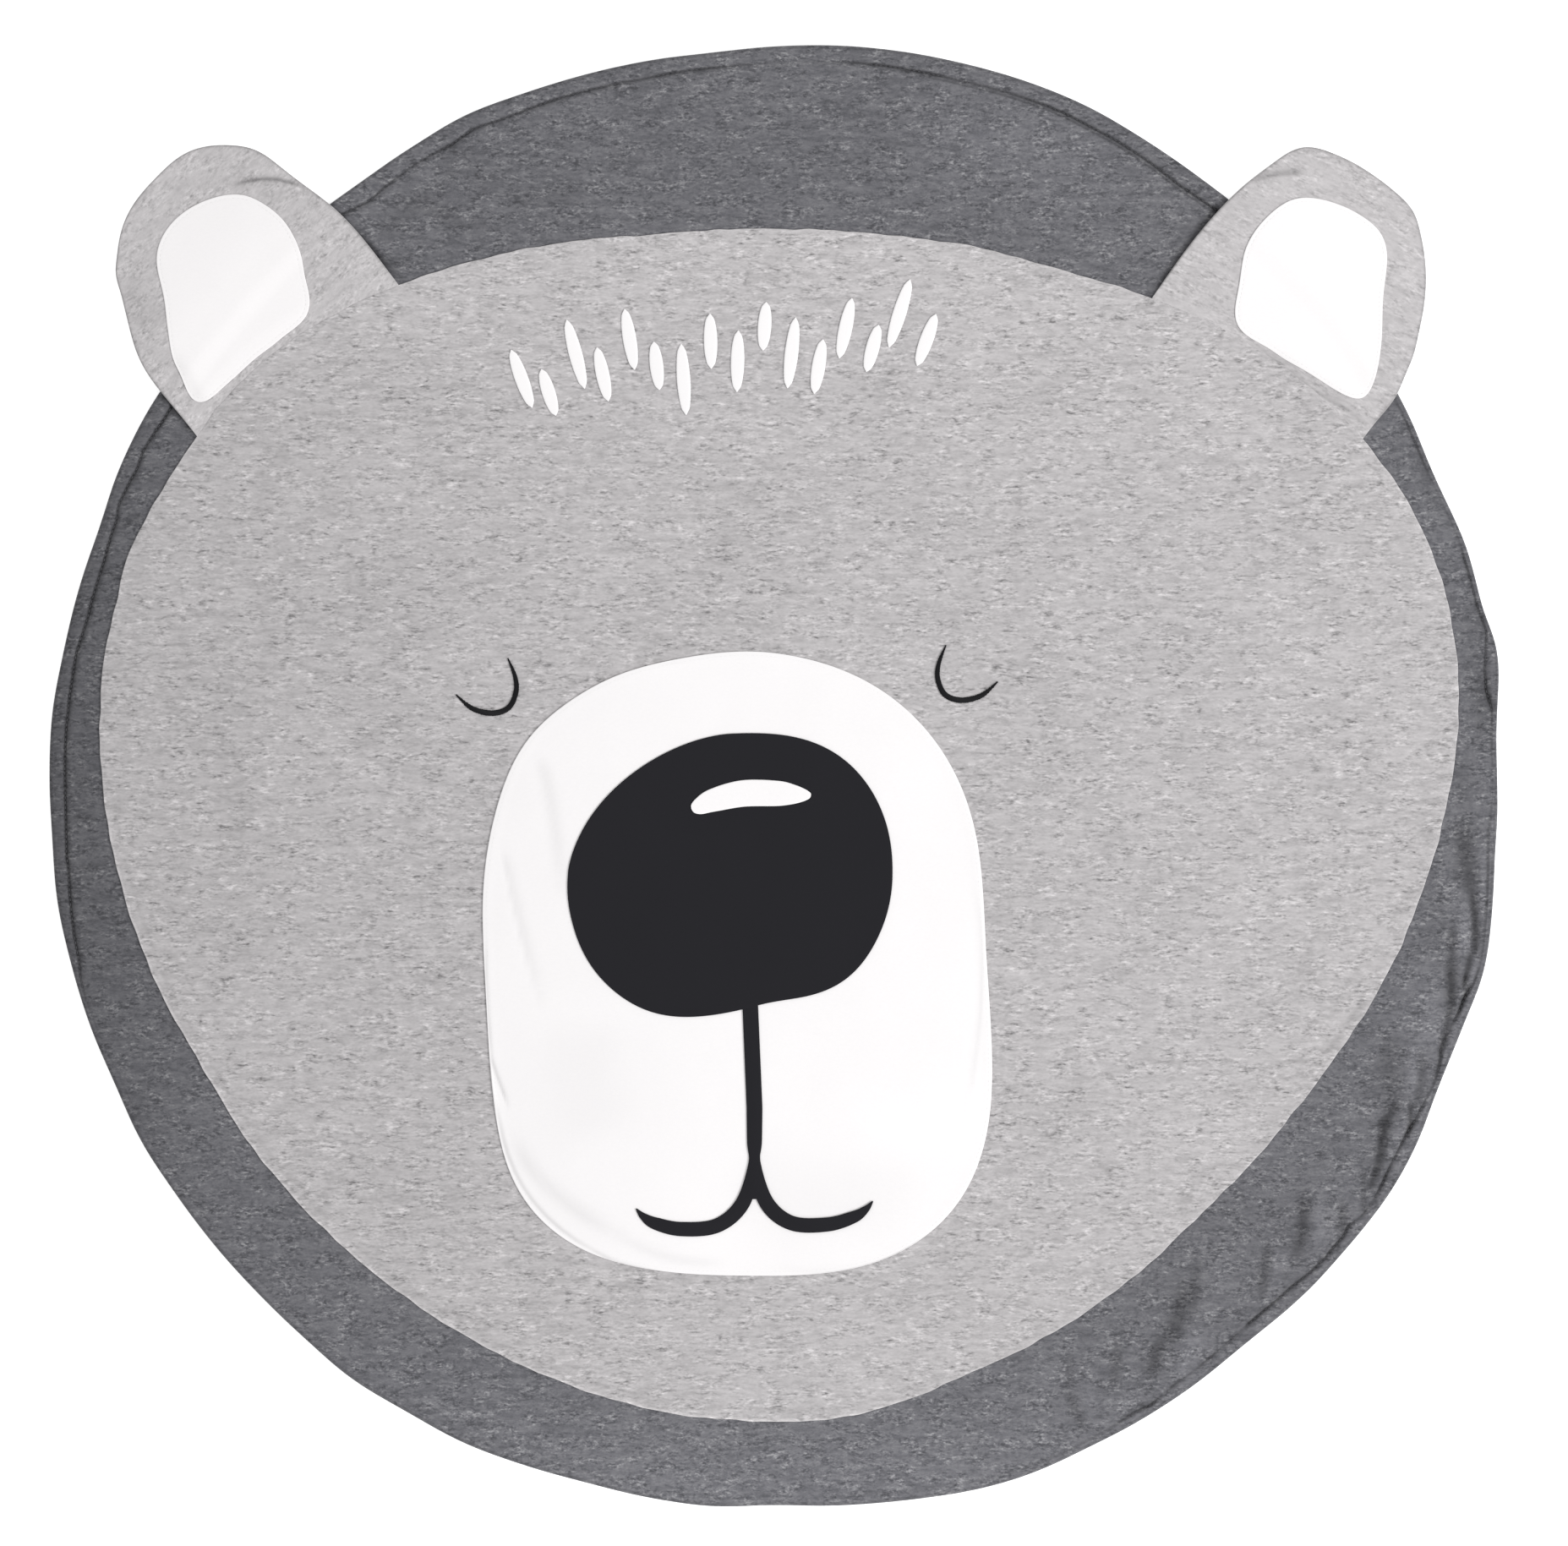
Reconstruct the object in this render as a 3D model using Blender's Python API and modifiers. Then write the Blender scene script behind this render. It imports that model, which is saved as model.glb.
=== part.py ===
"""A round play rug with a sleeping bear's face, lying flat.

X points right, Y points to the top of the face, Z up. The origin is on the floor, under the mat's middle.
The mat is a double cloth with a topstitched rim. The head, muzzle, nose, mouth, eyes and forehead tuft are
cloth pieces laid on it, one above the other, and the two ears are free flaps that hang over the rim.
"""

import math
from collections import namedtuple

import bmesh
import bpy
from mathutils import Vector

MM = 0.001
GAP = 0.3 * MM  # between any two pieces

# Thicknesses
MAT_THICK = 3.0 * MM
PANEL_THICK = 1.0 * MM
EAR_THICK = 1.6 * MM

# The mat's round outline: a circle, let out or drawn in a little along its way.
MAT_RADIUS = 452 * MM
RimBulge = namedtuple("RimBulge", "angle spread out")  # degrees, degrees, mm
RIM_BULGES = (
    RimBulge(10, 3.5, 6.0),
    RimBulge(20, 9, -4.0),
    RimBulge(68, 13, 6.0),
    RimBulge(104, 13, -3.5),
    RimBulge(160, 22, -6.5),
    RimBulge(236, 15, 3.0),
    RimBulge(289, 5, 3.0),
    RimBulge(306, 20, 6.5),
    RimBulge(326, 6, 3.0),
    RimBulge(354, 6, -6.0),
)

# The rim's section, from the field of the mat outwards: distance in from the rim, and height.
HEM_WIDTH = 14 * MM
HemPoint = namedtuple("HemPoint", "inward height")  # mm
HEM = (
    HemPoint(14, 3.0),
    HemPoint(10.5, 2.1),  # the topstitching pulls the cloth down
    HemPoint(7, 2.9),
    HemPoint(3, 3.0),
    HemPoint(0.7, 2.3),
    HemPoint(0, 1.5),
    HemPoint(0.7, 0.5),
    HemPoint(2.5, 0),
)

# Soft folds at the lower right: ridges from one point to another, fading at both ends.
Fold = namedtuple("Fold", "from_x from_y to_x to_y spread height")  # mm
FOLDS = (
    Fold(410, -30, 423, -118, 10, 2.4),
    Fold(400, -120, 399, -178, 12, 1.4),
    Fold(388, -192, 380, -256, 11, 2.4),
    Fold(356, -205, 352, -268, 13, 1.6),
    Fold(338, -256, 326, -304, 11, 2.2),
    Fold(300, -276, 290, -334, 13, 1.8),
    Fold(262, -312, 246, -366, 12, 2.0),
    Fold(214, -346, 206, -396, 13, 1.4),
)

# Outlines made of four quarter superellipses that meet at the widest line and the middle line.
# powers: upper left, upper right, lower left, lower right; 2 is an ellipse, more is squarer.
Egg = namedtuple("Egg", "middle_x widest_y half_width above below powers")  # mm
HEAD = Egg(4.5, 33, 419, 305, 434, (2.4, 2.2, 1.93, 1.7))
MUZZLE = Egg(-24, -100, 157, 176, 209, (2.4, 2.3, 3.1, 3.6))
NOSE = Egg(-27, -60, 100, 87, 88, (1.75, 2.25, 2.6, 2.1))

# Ears: rounded tabs that stand on the head's edge between two angles, seen from the mat's middle.
Ear = namedtuple("Ear", "side low_angle high_angle turn")  # degrees; turn is to the crown
EARS = (Ear("left", 149.5, 127.4, -2.5), Ear("right", 30.0, 51.8, 1.8))
EAR_HALF_WIDTH = 80 * MM
EAR_HEIGHT = 141 * MM
EAR_POWER = 2.6
EAR_LEAN = 5 * MM  # how far its tip bends to the crown
# The white inner ear, in the ear's own frame: across towards the crown, and out from the root.
EarPoint = namedtuple("EarPoint", "across out")  # mm
INNER_EAR = (
    EarPoint(-65, 19),
    EarPoint(-53, 62),
    EarPoint(-31, 104),
    EarPoint(5, 114),
    EarPoint(38, 97),
    EarPoint(44, 54),
    EarPoint(24, 17),
    EarPoint(-20, 15),
)
INNER_EAR_MIDDLE = EarPoint(-10, 62)
INNER_EAR_RINGS = (0.4, 0.75, 1.0)  # shares of the way from its middle to its edge
EAR_RINGS = (1.35, 1.7, 2.0)  # 1 is the inner ear's edge, 2 the ear's own
# How an ear's underside passes the rim: distance beyond the rim, and height above the floor.
DrapePoint = namedtuple("DrapePoint", "beyond height")  # mm
EAR_DRAPE = (
    DrapePoint(-34, 3.3),
    DrapePoint(-8, 4.6),
    DrapePoint(4, 4.7),
    DrapePoint(22, 2.0),
    DrapePoint(40, 0),
)

# Strokes: a smooth line through a few points, and the stroke's half width along it.
StrokePoint = namedtuple("StrokePoint", "x y half_width")  # mm
EYE = (
    StrokePoint(-19, -5, 0.4),
    StrokePoint(-8, -14, 1.8),
    StrokePoint(7, -16, 2.0),
    StrokePoint(17, -6, 1.9),
    StrokePoint(18, 6, 1.5),
    StrokePoint(13, 18, 0.4),
)
EYES = (("left", -178, 55, 1), ("right", 119, 62, -1))  # side, x, y, mirror
NOSE_LIGHT = (
    StrokePoint(-50, -21, 1.5),
    StrokePoint(-39, -16, 6.0),
    StrokePoint(-16, -10, 7.5),
    StrokePoint(8, -11, 6.5),
    StrokePoint(22, -13, 1.5),
)
MOUTH_X = -13
MOUTH_STEM_TOP_HALF_WIDTH = 4.7 * MM
MOUTH_ARM = (  # the right half, from the stem outwards; the left half is its mirror image
    StrokePoint(0, -241, 3.3),
    StrokePoint(9, -264, 4.6),
    StrokePoint(24, -278, 4.6),
    StrokePoint(45, -280, 4.0),
    StrokePoint(64, -274, 2.6),
    StrokePoint(73, -267, 0.4),
)

# The forehead tuft: leaf-shaped strokes in a staggered band that fans out to both sides.
TUFT_COUNT = 16
TUFT_LEFT_X = -156 * MM
TUFT_RIGHT_X = 94 * MM
TUFT_Y = 245 * MM
TUFT_RISE = 24 * MM  # how much higher the band is at its right end
TUFT_STAGGER = (0, -10, 12, -2, 18)  # mm, repeated
TUFT_LENGTHS = (38, 30, 44, 34)  # mm, repeated
TUFT_WIDTH = 8.4 * MM
TUFT_FAN = 20  # degrees that the outermost strokes lean
TUFT_POINTS = 12

# Detail
TURN_STEPS = 144
EAR_STEPS = 60
FINDING_STEPS = 24  # halvings when an edge is looked for
FURTHEST = 600 * MM  # past every edge
SHARP_ANGLE = 40  # degrees

DARK_MARL = (0.125, 0.124, 0.135)
LIGHT_MARL = (0.50, 0.49, 0.495)
WHITE = (0.88, 0.87, 0.87)
BLACK = (0.025, 0.024, 0.028)


# ---------------------------------------------------------------- outlines


def bell(distance, spread):
    return math.exp(-0.5 * (distance / spread) ** 2)


def eased(t):
    t = min(1.0, max(0.0, t))
    return t * t * (3 - 2 * t)


def rim_radius(angle):
    """How far the mat's rim is from the middle, at an angle in radians."""
    radius = MAT_RADIUS
    for bulge in RIM_BULGES:
        away = (math.degrees(angle) - bulge.angle + 180) % 360 - 180
        radius += bulge.out * MM * bell(away, bulge.spread)
    return radius


def egg_fullness(egg, x, y):
    """Less than 1 inside the outline, 1 on it."""
    y -= egg.widest_y * MM
    x -= egg.middle_x * MM
    power = egg.powers[(0 if y > 0 else 2) + (1 if x > 0 else 0)]
    tall = (egg.above if y > 0 else egg.below) * MM
    return (abs(x) / (egg.half_width * MM)) ** power + (abs(y) / tall) ** power


def reach(inside, centre, angle):
    """The distance from centre, along an angle, at which inside(x, y) stops being true."""
    near, far = 0.0, FURTHEST
    for _ in range(FINDING_STEPS):
        middle = (near + far) / 2
        x = centre[0] + middle * math.cos(angle)
        y = centre[1] + middle * math.sin(angle)
        if inside(x, y):
            near = middle
        else:
            far = middle
    return near


def head_radius(angle):
    return reach(lambda x, y: egg_fullness(HEAD, x, y) < 1, (0, 0), angle)


def egg_outline(egg, count):
    centre = (egg.middle_x * MM, egg.widest_y * MM)
    outline = []
    for step in range(count):
        angle = math.tau * step / count
        r = reach(lambda x, y: egg_fullness(egg, x, y) < 1, centre, angle)
        outline.append(Vector((centre[0] + r * math.cos(angle), centre[1] + r * math.sin(angle))))
    return outline


def smooth_line(points, per_span, closed=False):
    """Points along a smooth line (a Catmull-Rom curve) through vectors of any length."""
    count = len(points)
    spans = count if closed else count - 1
    line = []
    for i in range(spans):
        if closed:
            before, start, end, after = (points[(i + k) % count] for k in (-1, 0, 1, 2))
        else:
            before, start, end, after = (points[min(count - 1, max(0, i + k))] for k in (-1, 0, 1, 2))
        for step in range(per_span):
            t = step / per_span
            line.append(
                0.5
                * (
                    2 * start
                    + (end - before) * t
                    + (2 * before - 5 * start + 4 * end - after) * t**2
                    + (3 * start - before - 3 * end + after) * t**3
                )
            )
    if not closed:
        line.append(points[-1].copy())
    return line


def stroke_sides(stroke, per_span=4):
    """The left and the right side of a stroke, from its first point to its last."""
    line = smooth_line([Vector(point) * MM for point in stroke], per_span)
    left, right = [], []
    for i, point in enumerate(line):
        ahead = line[min(i + 1, len(line) - 1)].xy - line[max(i - 1, 0)].xy
        across = Vector((-ahead.y, ahead.x)).normalized() * point.z
        left.append(point.xy + across)
        right.append(point.xy - across)
    return left, right


def stroke_outline(stroke):
    left, right = stroke_sides(stroke)
    return left + right[::-1]


def mirrored(points, middle_x):
    return [Vector((2 * middle_x - p.x, p.y)) for p in points]


# ---------------------------------------------------------------- heights


def lift(x, y):
    """How far the folds raise the mat and the head panel off the floor."""
    point = Vector((x, y))
    height = 0.0
    for fold in FOLDS:
        start = Vector((fold.from_x, fold.from_y)) * MM
        run = Vector((fold.to_x, fold.to_y)) * MM - start
        along = (point - start).dot(run) / run.length_squared
        across = abs((point - start).cross(run)) / run.length
        ends = eased(1 + 2 * along) if along < 0 else eased(3 - 2 * along)
        height += fold.height * MM * bell(across, fold.spread * MM) * min(ends, 1.0)
    return height


def ear_underside(x, y):
    """The ear lies on the mat, clears the rim by 2 mm and comes down to the floor beyond it."""
    beyond = math.hypot(x, y) - rim_radius(math.atan2(y, x))
    first, last = EAR_DRAPE[0], EAR_DRAPE[-1]
    if beyond <= first.beyond * MM:
        return first.height * MM
    for a, b in zip(EAR_DRAPE, EAR_DRAPE[1:]):
        if beyond < b.beyond * MM:
            t = eased((beyond - a.beyond * MM) / ((b.beyond - a.beyond) * MM))
            return (a.height + (b.height - a.height) * t) * MM
    return last.height * MM


# ---------------------------------------------------------------- ears


class EarFrame:
    """Places an ear on the head's edge: across runs along the root to the crown, out away from the head."""

    def __init__(self, ear):
        low, high = math.radians(ear.low_angle), math.radians(ear.high_angle)
        corners = [Vector((math.cos(a), math.sin(a))) * head_radius(a) for a in (low, high)]
        self.middle = (corners[0] + corners[1]) / 2
        root = (corners[1] - corners[0]).normalized()
        off_root = Vector((root.y, -root.x))
        if off_root.dot(self.middle) < 0:
            off_root = -off_root
        cos, sin = math.cos(math.radians(ear.turn)), math.sin(math.radians(ear.turn))
        self.across = root * cos - off_root * sin
        self.out = off_root * cos + root * sin

    def place(self, across, out):
        return self.middle + self.across * across + self.out * out

    def fullness(self, x, y):
        """Less than 1 inside the ear's rounded tab."""
        local = Vector((x, y)) - self.middle
        across, out = local.dot(self.across), max(0.0, local.dot(self.out))
        across -= EAR_LEAN * (out / EAR_HEIGHT) ** 2
        return (abs(across) / EAR_HALF_WIDTH) ** EAR_POWER + (out / EAR_HEIGHT) ** EAR_POWER

    def inside(self, x, y):
        off_head = math.hypot(x, y) > head_radius(math.atan2(y, x)) + GAP
        return off_head and self.fullness(x, y) < 1

    def root_corner(self, sign):
        """Where the tab's side meets the head's edge."""
        middle = math.atan2(self.middle.y, self.middle.x)
        side = self.place(sign * EAR_HALF_WIDTH, 0)
        turn = math.atan2(side.y, side.x) - middle
        near, far = 0.0, 1.5
        for _ in range(FINDING_STEPS):
            share = (near + far) / 2
            angle = middle + turn * share
            edge = Vector((math.cos(angle), math.sin(angle))) * (head_radius(angle) + GAP)
            if self.fullness(edge.x, edge.y) < 1:
                near = share
            else:
                far = share
        return edge


def ear_outlines(frame):
    """Inner and outer outline of one ear, point for point on the same rays from the inner ear's middle."""
    centre = frame.place(INNER_EAR_MIDDLE.across * MM, INNER_EAR_MIDDLE.out * MM)
    patch = smooth_line([frame.place(p.across * MM, p.out * MM) for p in INNER_EAR], 12, closed=True)
    angles = [math.tau * step / EAR_STEPS for step in range(EAR_STEPS)]
    for sign in (-1, 1):
        corner = frame.root_corner(sign) - centre
        angle = math.atan2(corner.y, corner.x) % math.tau
        angles[round(angle / math.tau * EAR_STEPS) % EAR_STEPS] = angle
    inner, outer = [], []
    for angle in angles:
        ray = Vector((math.cos(angle), math.sin(angle)))
        inner.append(centre + ray * ray_length(patch, centre, ray))
        outer.append(centre + ray * reach(frame.inside, centre, angle))
    return centre, inner, outer


def ray_length(outline, centre, ray):
    """How far a ray from centre goes until it crosses a closed outline around it."""
    longest = 0.0
    for start, end in zip(outline, outline[1:] + outline[:1]):
        side_a = ray.cross(start - centre)
        side_b = ray.cross(end - centre)
        if side_a * side_b > 0 or side_a == side_b:
            continue
        crossing = start + (end - start) * (side_a / (side_a - side_b)) - centre
        longest = max(longest, crossing.dot(ray))
    return longest


# ---------------------------------------------------------------- solids


def cloth_material(name, colour):
    material = bpy.data.materials.new(name)
    material.use_nodes = True
    shader = material.node_tree.nodes["Principled BSDF"]
    shader.inputs["Base Color"].default_value = (*colour, 1)
    shader.inputs["Roughness"].default_value = 0.9
    shader.inputs["Metallic"].default_value = 0.0
    return material


def add_to_rug(obj, colour):
    obj.data.materials.append(cloth_material(obj.name + "_cloth", colour))
    bpy.data.collections["bear_rug"].objects.link(obj)
    obj.parent = bpy.data.objects["rug_origin"]
    return obj


def split_quads(mesh):
    """Splits each quad along its shorter diagonal, so that layers with the same plan bend alike."""
    work = bmesh.new()
    work.from_mesh(mesh)
    bmesh.ops.triangulate(work, faces=work.faces, quad_method="SHORT_EDGE")
    work.to_mesh(mesh)
    work.free()


def turned(name, profile, steps, reshape, colour):
    """Turns a profile of (radius, height) round Z, then moves each point to reshape(radius, step, height)."""
    line = bpy.data.meshes.new(name + "_profile")
    line.from_pydata([(r, 0, z) for r, z in profile], [(i, i + 1) for i in range(len(profile) - 1)], [])
    guide = bpy.data.objects.new(name + "_profile", line)
    bpy.context.scene.collection.objects.link(guide)
    screw = guide.modifiers.new("turn", "SCREW")
    screw.steps = screw.render_steps = steps
    screw.use_merge_vertices = True
    screw.merge_threshold = 0.01 * MM
    graph = bpy.context.evaluated_depsgraph_get()
    mesh = bpy.data.meshes.new_from_object(guide.evaluated_get(graph))
    bpy.data.objects.remove(guide)
    bpy.data.meshes.remove(line)
    for vertex in mesh.vertices:
        x, y, z = vertex.co
        step = round(math.atan2(y, x) / math.tau * steps) % steps
        vertex.co = reshape(math.hypot(x, y), step, z)
    split_quads(mesh)
    mesh.name = name
    mesh.shade_smooth()
    mesh.set_sharp_from_angle(angle=math.radians(SHARP_ANGLE))
    return add_to_rug(bpy.data.objects.new(name, mesh), colour)


def flat_patch(name, outline, underside, colour):
    """A flat cloth piece: a filled outline, as thick as one layer of cloth."""
    curve = bpy.data.curves.new(name, "CURVE")
    curve.dimensions = "2D"
    curve.fill_mode = "BOTH"
    curve.extrude = PANEL_THICK / 2
    spline = curve.splines.new("POLY")
    spline.points.add(len(outline) - 1)
    spline.use_cyclic_u = True
    for point, place in zip(spline.points, outline):
        point.co = (place.x, place.y, 0, 1)
    patch = bpy.data.objects.new(name, curve)
    patch.location.z = underside + PANEL_THICK / 2
    return add_to_rug(patch, colour)


# ---------------------------------------------------------------- the mat and the head

# The turned discs are drawn on a plain round plan and then stretched to the real outlines.
PLAN_HEAD = 400 * MM
PLAN_RIM = MAT_RADIUS
HEAD_RINGS = (0.45, 0.8, 0.92, 1.0)  # shares of the way to the head's edge
BORDER_RINGS = (1 / 3, 2 / 3)  # shares of the way from there to the hem


def stretched(radius, step, height):
    """Moves a point of the round plan: the plan's head circle goes to the head's edge, its rim to the rim."""
    angle = math.tau * step / TURN_STEPS
    head, rim = head_radius(angle), rim_radius(angle)
    if radius <= PLAN_HEAD:
        real = head * radius / PLAN_HEAD
    elif radius < PLAN_RIM - HEM_WIDTH:
        share = (radius - PLAN_HEAD) / (PLAN_RIM - HEM_WIDTH - PLAN_HEAD)
        real = head + (rim - HEM_WIDTH - head) * share
    else:
        real = rim - (PLAN_RIM - radius)
    x, y = real * math.cos(angle), real * math.sin(angle)
    return (x, y, height + lift(x, y))


def make_mat():
    rings = [PLAN_HEAD * share for share in HEAD_RINGS]
    rings += [PLAN_HEAD + (PLAN_RIM - HEM_WIDTH - PLAN_HEAD) * share for share in BORDER_RINGS]
    top = [(0, MAT_THICK)] + [(r, MAT_THICK) for r in rings]
    hem = [(PLAN_RIM - p.inward * MM, p.height * MM) for p in HEM]
    under_hem = [(PLAN_RIM - HEM_WIDTH, 0)]
    bottom = [(r, 0) for r in rings[::-1]] + [(0, 0)]
    turned("mat", top + hem + under_hem + bottom, TURN_STEPS, stretched, DARK_MARL)


def make_head():
    under = MAT_THICK + GAP
    top = [(0, under + PANEL_THICK)] + [(PLAN_HEAD * share, under + PANEL_THICK) for share in HEAD_RINGS]
    bottom = [(PLAN_HEAD * share, under) for share in HEAD_RINGS[::-1]] + [(0, under)]
    turned("head_panel", top + bottom, TURN_STEPS, stretched, LIGHT_MARL)
    return under + PANEL_THICK


def make_ear(ear):
    frame = EarFrame(ear)
    centre, inner, outer = ear_outlines(frame)

    def place(radius, step, height):
        if radius <= 1:
            spot = centre + (inner[step] - centre) * radius
        else:
            spot = inner[step] + (outer[step] - inner[step]) * (radius - 1)
        return (spot.x, spot.y, ear_underside(spot.x, spot.y) + height)

    all_rings = INNER_EAR_RINGS + EAR_RINGS
    flap = [(0, EAR_THICK)] + [(r, EAR_THICK) for r in all_rings]
    flap += [(r, 0) for r in all_rings[::-1]] + [(0, 0)]
    turned("ear_" + ear.side, flap, EAR_STEPS, place, LIGHT_MARL)

    low, high = EAR_THICK + GAP, EAR_THICK + GAP + PANEL_THICK
    patch = [(0, high)] + [(r, high) for r in INNER_EAR_RINGS]
    patch += [(r, low) for r in INNER_EAR_RINGS[::-1]] + [(0, low)]
    turned("inner_ear_" + ear.side, patch, EAR_STEPS, place, WHITE)


# ---------------------------------------------------------------- the face


def make_mouth(underside):
    """The stem starts just under the nose's edge and parts into two upturned arms."""
    middle = MOUTH_X * MM
    outer_side, inner_side = stroke_sides([(p.x + MOUTH_X, p.y, p.half_width) for p in MOUTH_ARM])
    inner_side = [p for p in inner_side if p.x > middle + MM]
    right = outer_side + inner_side[::-1]
    left = mirrored(right, middle)[::-1]
    top = []
    for side in (-1, 1):
        x = middle + side * MOUTH_STEM_TOP_HALF_WIDTH
        drop = reach(lambda u, v: egg_fullness(NOSE, u, v) < 1, (x, NOSE.widest_y * MM), -math.pi / 2)
        top.append(Vector((x, NOSE.widest_y * MM - drop - 2 * GAP)))
    flat_patch("mouth", [top[0], top[1]] + right + left, underside, BLACK)


def make_tuft(underside):
    for i in range(TUFT_COUNT):
        share = i / (TUFT_COUNT - 1)
        x = TUFT_LEFT_X + (TUFT_RIGHT_X - TUFT_LEFT_X) * share
        y = TUFT_Y + TUFT_RISE * share + TUFT_STAGGER[i % len(TUFT_STAGGER)] * MM
        lean = math.radians(TUFT_FAN) * (2 * share - 1)
        half = Vector((math.sin(lean), math.cos(lean))) * TUFT_LENGTHS[i % len(TUFT_LENGTHS)] * MM / 2
        wide = Vector((half.y, -half.x)).normalized() * TUFT_WIDTH / 2
        outline = []
        for step in range(TUFT_POINTS):
            angle = math.tau * step / TUFT_POINTS
            outline.append(Vector((x, y)) + half * math.cos(angle) + wide * math.sin(angle))
        flat_patch(f"tuft_{i + 1:02d}", outline, underside, WHITE)


def make_face(on_head):
    on_muzzle = on_head + PANEL_THICK + GAP
    on_nose = on_muzzle + PANEL_THICK + GAP
    flat_patch("muzzle", egg_outline(MUZZLE, 72), on_head, WHITE)
    flat_patch("nose", egg_outline(NOSE, 56), on_muzzle, BLACK)
    flat_patch("nose_highlight", stroke_outline(NOSE_LIGHT), on_nose, WHITE)
    make_mouth(on_muzzle)
    for side, x, y, mirror in EYES:
        stroke = [(x + mirror * p.x, y + p.y, p.half_width) for p in EYE]
        flat_patch("eye_" + side, stroke_outline(stroke), on_head, BLACK)
    make_tuft(on_head)


def main():
    for obj in list(bpy.data.objects):
        bpy.data.objects.remove(obj)
    bpy.context.scene.collection.children.link(bpy.data.collections.new("bear_rug"))
    origin = bpy.data.objects.new("rug_origin", None)
    bpy.data.collections["bear_rug"].objects.link(origin)
    make_mat()
    head_top = make_head()
    for ear in EARS:
        make_ear(ear)
    make_face(head_top + GAP)


main()
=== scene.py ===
# %% [markdown]
# # A bear shaped play rug, laid flat
#
# The real thing is a round mat of dark marl jersey, about 0.9 m across. A bear's sleeping face is sewn on it
# in flat layers: a light grey head, a white muzzle, a black nose. Two ears stand out past the rim. A marl
# jersey is knitted from yarn spun out of light and dark fibres, so it is full of short flecks.
#
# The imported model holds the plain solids. This lesson loads them as a frame, and dresses each one in a finer
# piece of cloth that lies in the same place. Lengths are in mm unless a comment says metres.

# %% Load the frame
import math
from collections import namedtuple

import bmesh
import bpy
import numpy as np
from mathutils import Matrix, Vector


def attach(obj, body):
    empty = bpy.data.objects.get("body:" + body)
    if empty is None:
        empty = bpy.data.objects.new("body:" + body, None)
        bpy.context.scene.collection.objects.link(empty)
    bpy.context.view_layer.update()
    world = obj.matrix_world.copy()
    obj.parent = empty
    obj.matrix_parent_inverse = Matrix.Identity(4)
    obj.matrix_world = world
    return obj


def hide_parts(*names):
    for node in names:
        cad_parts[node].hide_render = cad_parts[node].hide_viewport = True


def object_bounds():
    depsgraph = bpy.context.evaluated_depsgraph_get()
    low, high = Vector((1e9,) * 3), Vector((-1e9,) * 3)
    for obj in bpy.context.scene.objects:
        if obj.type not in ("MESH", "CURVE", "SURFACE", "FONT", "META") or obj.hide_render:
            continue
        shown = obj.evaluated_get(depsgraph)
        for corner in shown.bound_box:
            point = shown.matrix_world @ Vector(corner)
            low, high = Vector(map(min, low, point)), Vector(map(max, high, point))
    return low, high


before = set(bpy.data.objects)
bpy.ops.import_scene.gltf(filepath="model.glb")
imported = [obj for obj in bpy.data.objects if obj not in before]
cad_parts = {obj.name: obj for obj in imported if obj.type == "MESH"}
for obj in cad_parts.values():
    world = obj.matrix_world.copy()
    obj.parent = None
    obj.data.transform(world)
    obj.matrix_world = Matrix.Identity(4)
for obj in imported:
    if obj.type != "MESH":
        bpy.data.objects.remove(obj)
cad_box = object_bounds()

MM = 0.001
spans = [round(float(high - low) / MM, 1) for low, high in zip(*cad_box)]
print(len(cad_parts), "solids span", spans, "mm")

# %% [markdown]
# ## Camera
# The photograph was taken from straight above with the rug filling the frame. A long lens at a distance of
# more than two metres keeps the rim from bulging. What the lens sees is about 0.968 m wide at the cloth.

# %% Camera looking straight down
LENS, SENSOR = 85.0, 36.0
VIEW_WIDTH = 968.3 * MM
VIEW_MIDDLE = (6.0, 1.6)
CLOTH_LEVEL = 4


def placed(name, data):
    """A new object in the scene, made of this data."""
    thing = bpy.data.objects.new(name, data)
    bpy.context.scene.collection.objects.link(thing)
    return thing


camera = placed("camera", bpy.data.cameras.new("camera"))
camera.data.lens = LENS
camera.data.sensor_width = SENSOR
camera.location = (VIEW_MIDDLE[0] * MM, VIEW_MIDDLE[1] * MM, VIEW_WIDTH * LENS / SENSOR + CLOTH_LEVEL * MM)
bpy.context.scene.camera = camera
print("camera height", round(camera.location.z, 3), "m")

# %% [markdown]
# ## Floor
# The rug lies on a studio floor of plain white paper: one wide square, a hair below the cloth. The paper
# glows a little by itself, as a lit table does, so the thin rug throws hardly a shadow.

# %% Floor
FLOOR_REACH = 6.0  # metres
FLOOR_BELOW = 0.2
PAPER_GLOW = 0.45


def new_finish(name, settings):
    """A material, its node tree and its shader, which has these settings."""
    finish = bpy.data.materials.new(name)
    finish.use_nodes = True
    shader = finish.node_tree.nodes["Principled BSDF"]
    for socket, value in settings.items():
        shader.inputs[socket].default_value = value
    return finish, finish.node_tree, shader


paper = new_finish("floor_paper", {
    "Base Color": (0.97, 0.97, 0.97, 1), "Roughness": 1.0, "Specular IOR Level": 0.0,
    "Emission Color": (1, 1, 1, 1), "Emission Strength": PAPER_GLOW,
})[0]
square = bpy.data.meshes.new("floor")
corners = [(x * FLOOR_REACH, y * FLOOR_REACH, 0) for x, y in ((-1, -1), (1, -1), (1, 1), (-1, 1))]
square.from_pydata(corners, [], [(0, 1, 2, 3)])
square.materials.append(paper)
floor = placed("floor", square)
floor.location.z = -FLOOR_BELOW * MM
print("floor", 2 * FLOOR_REACH, "m wide")

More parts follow.
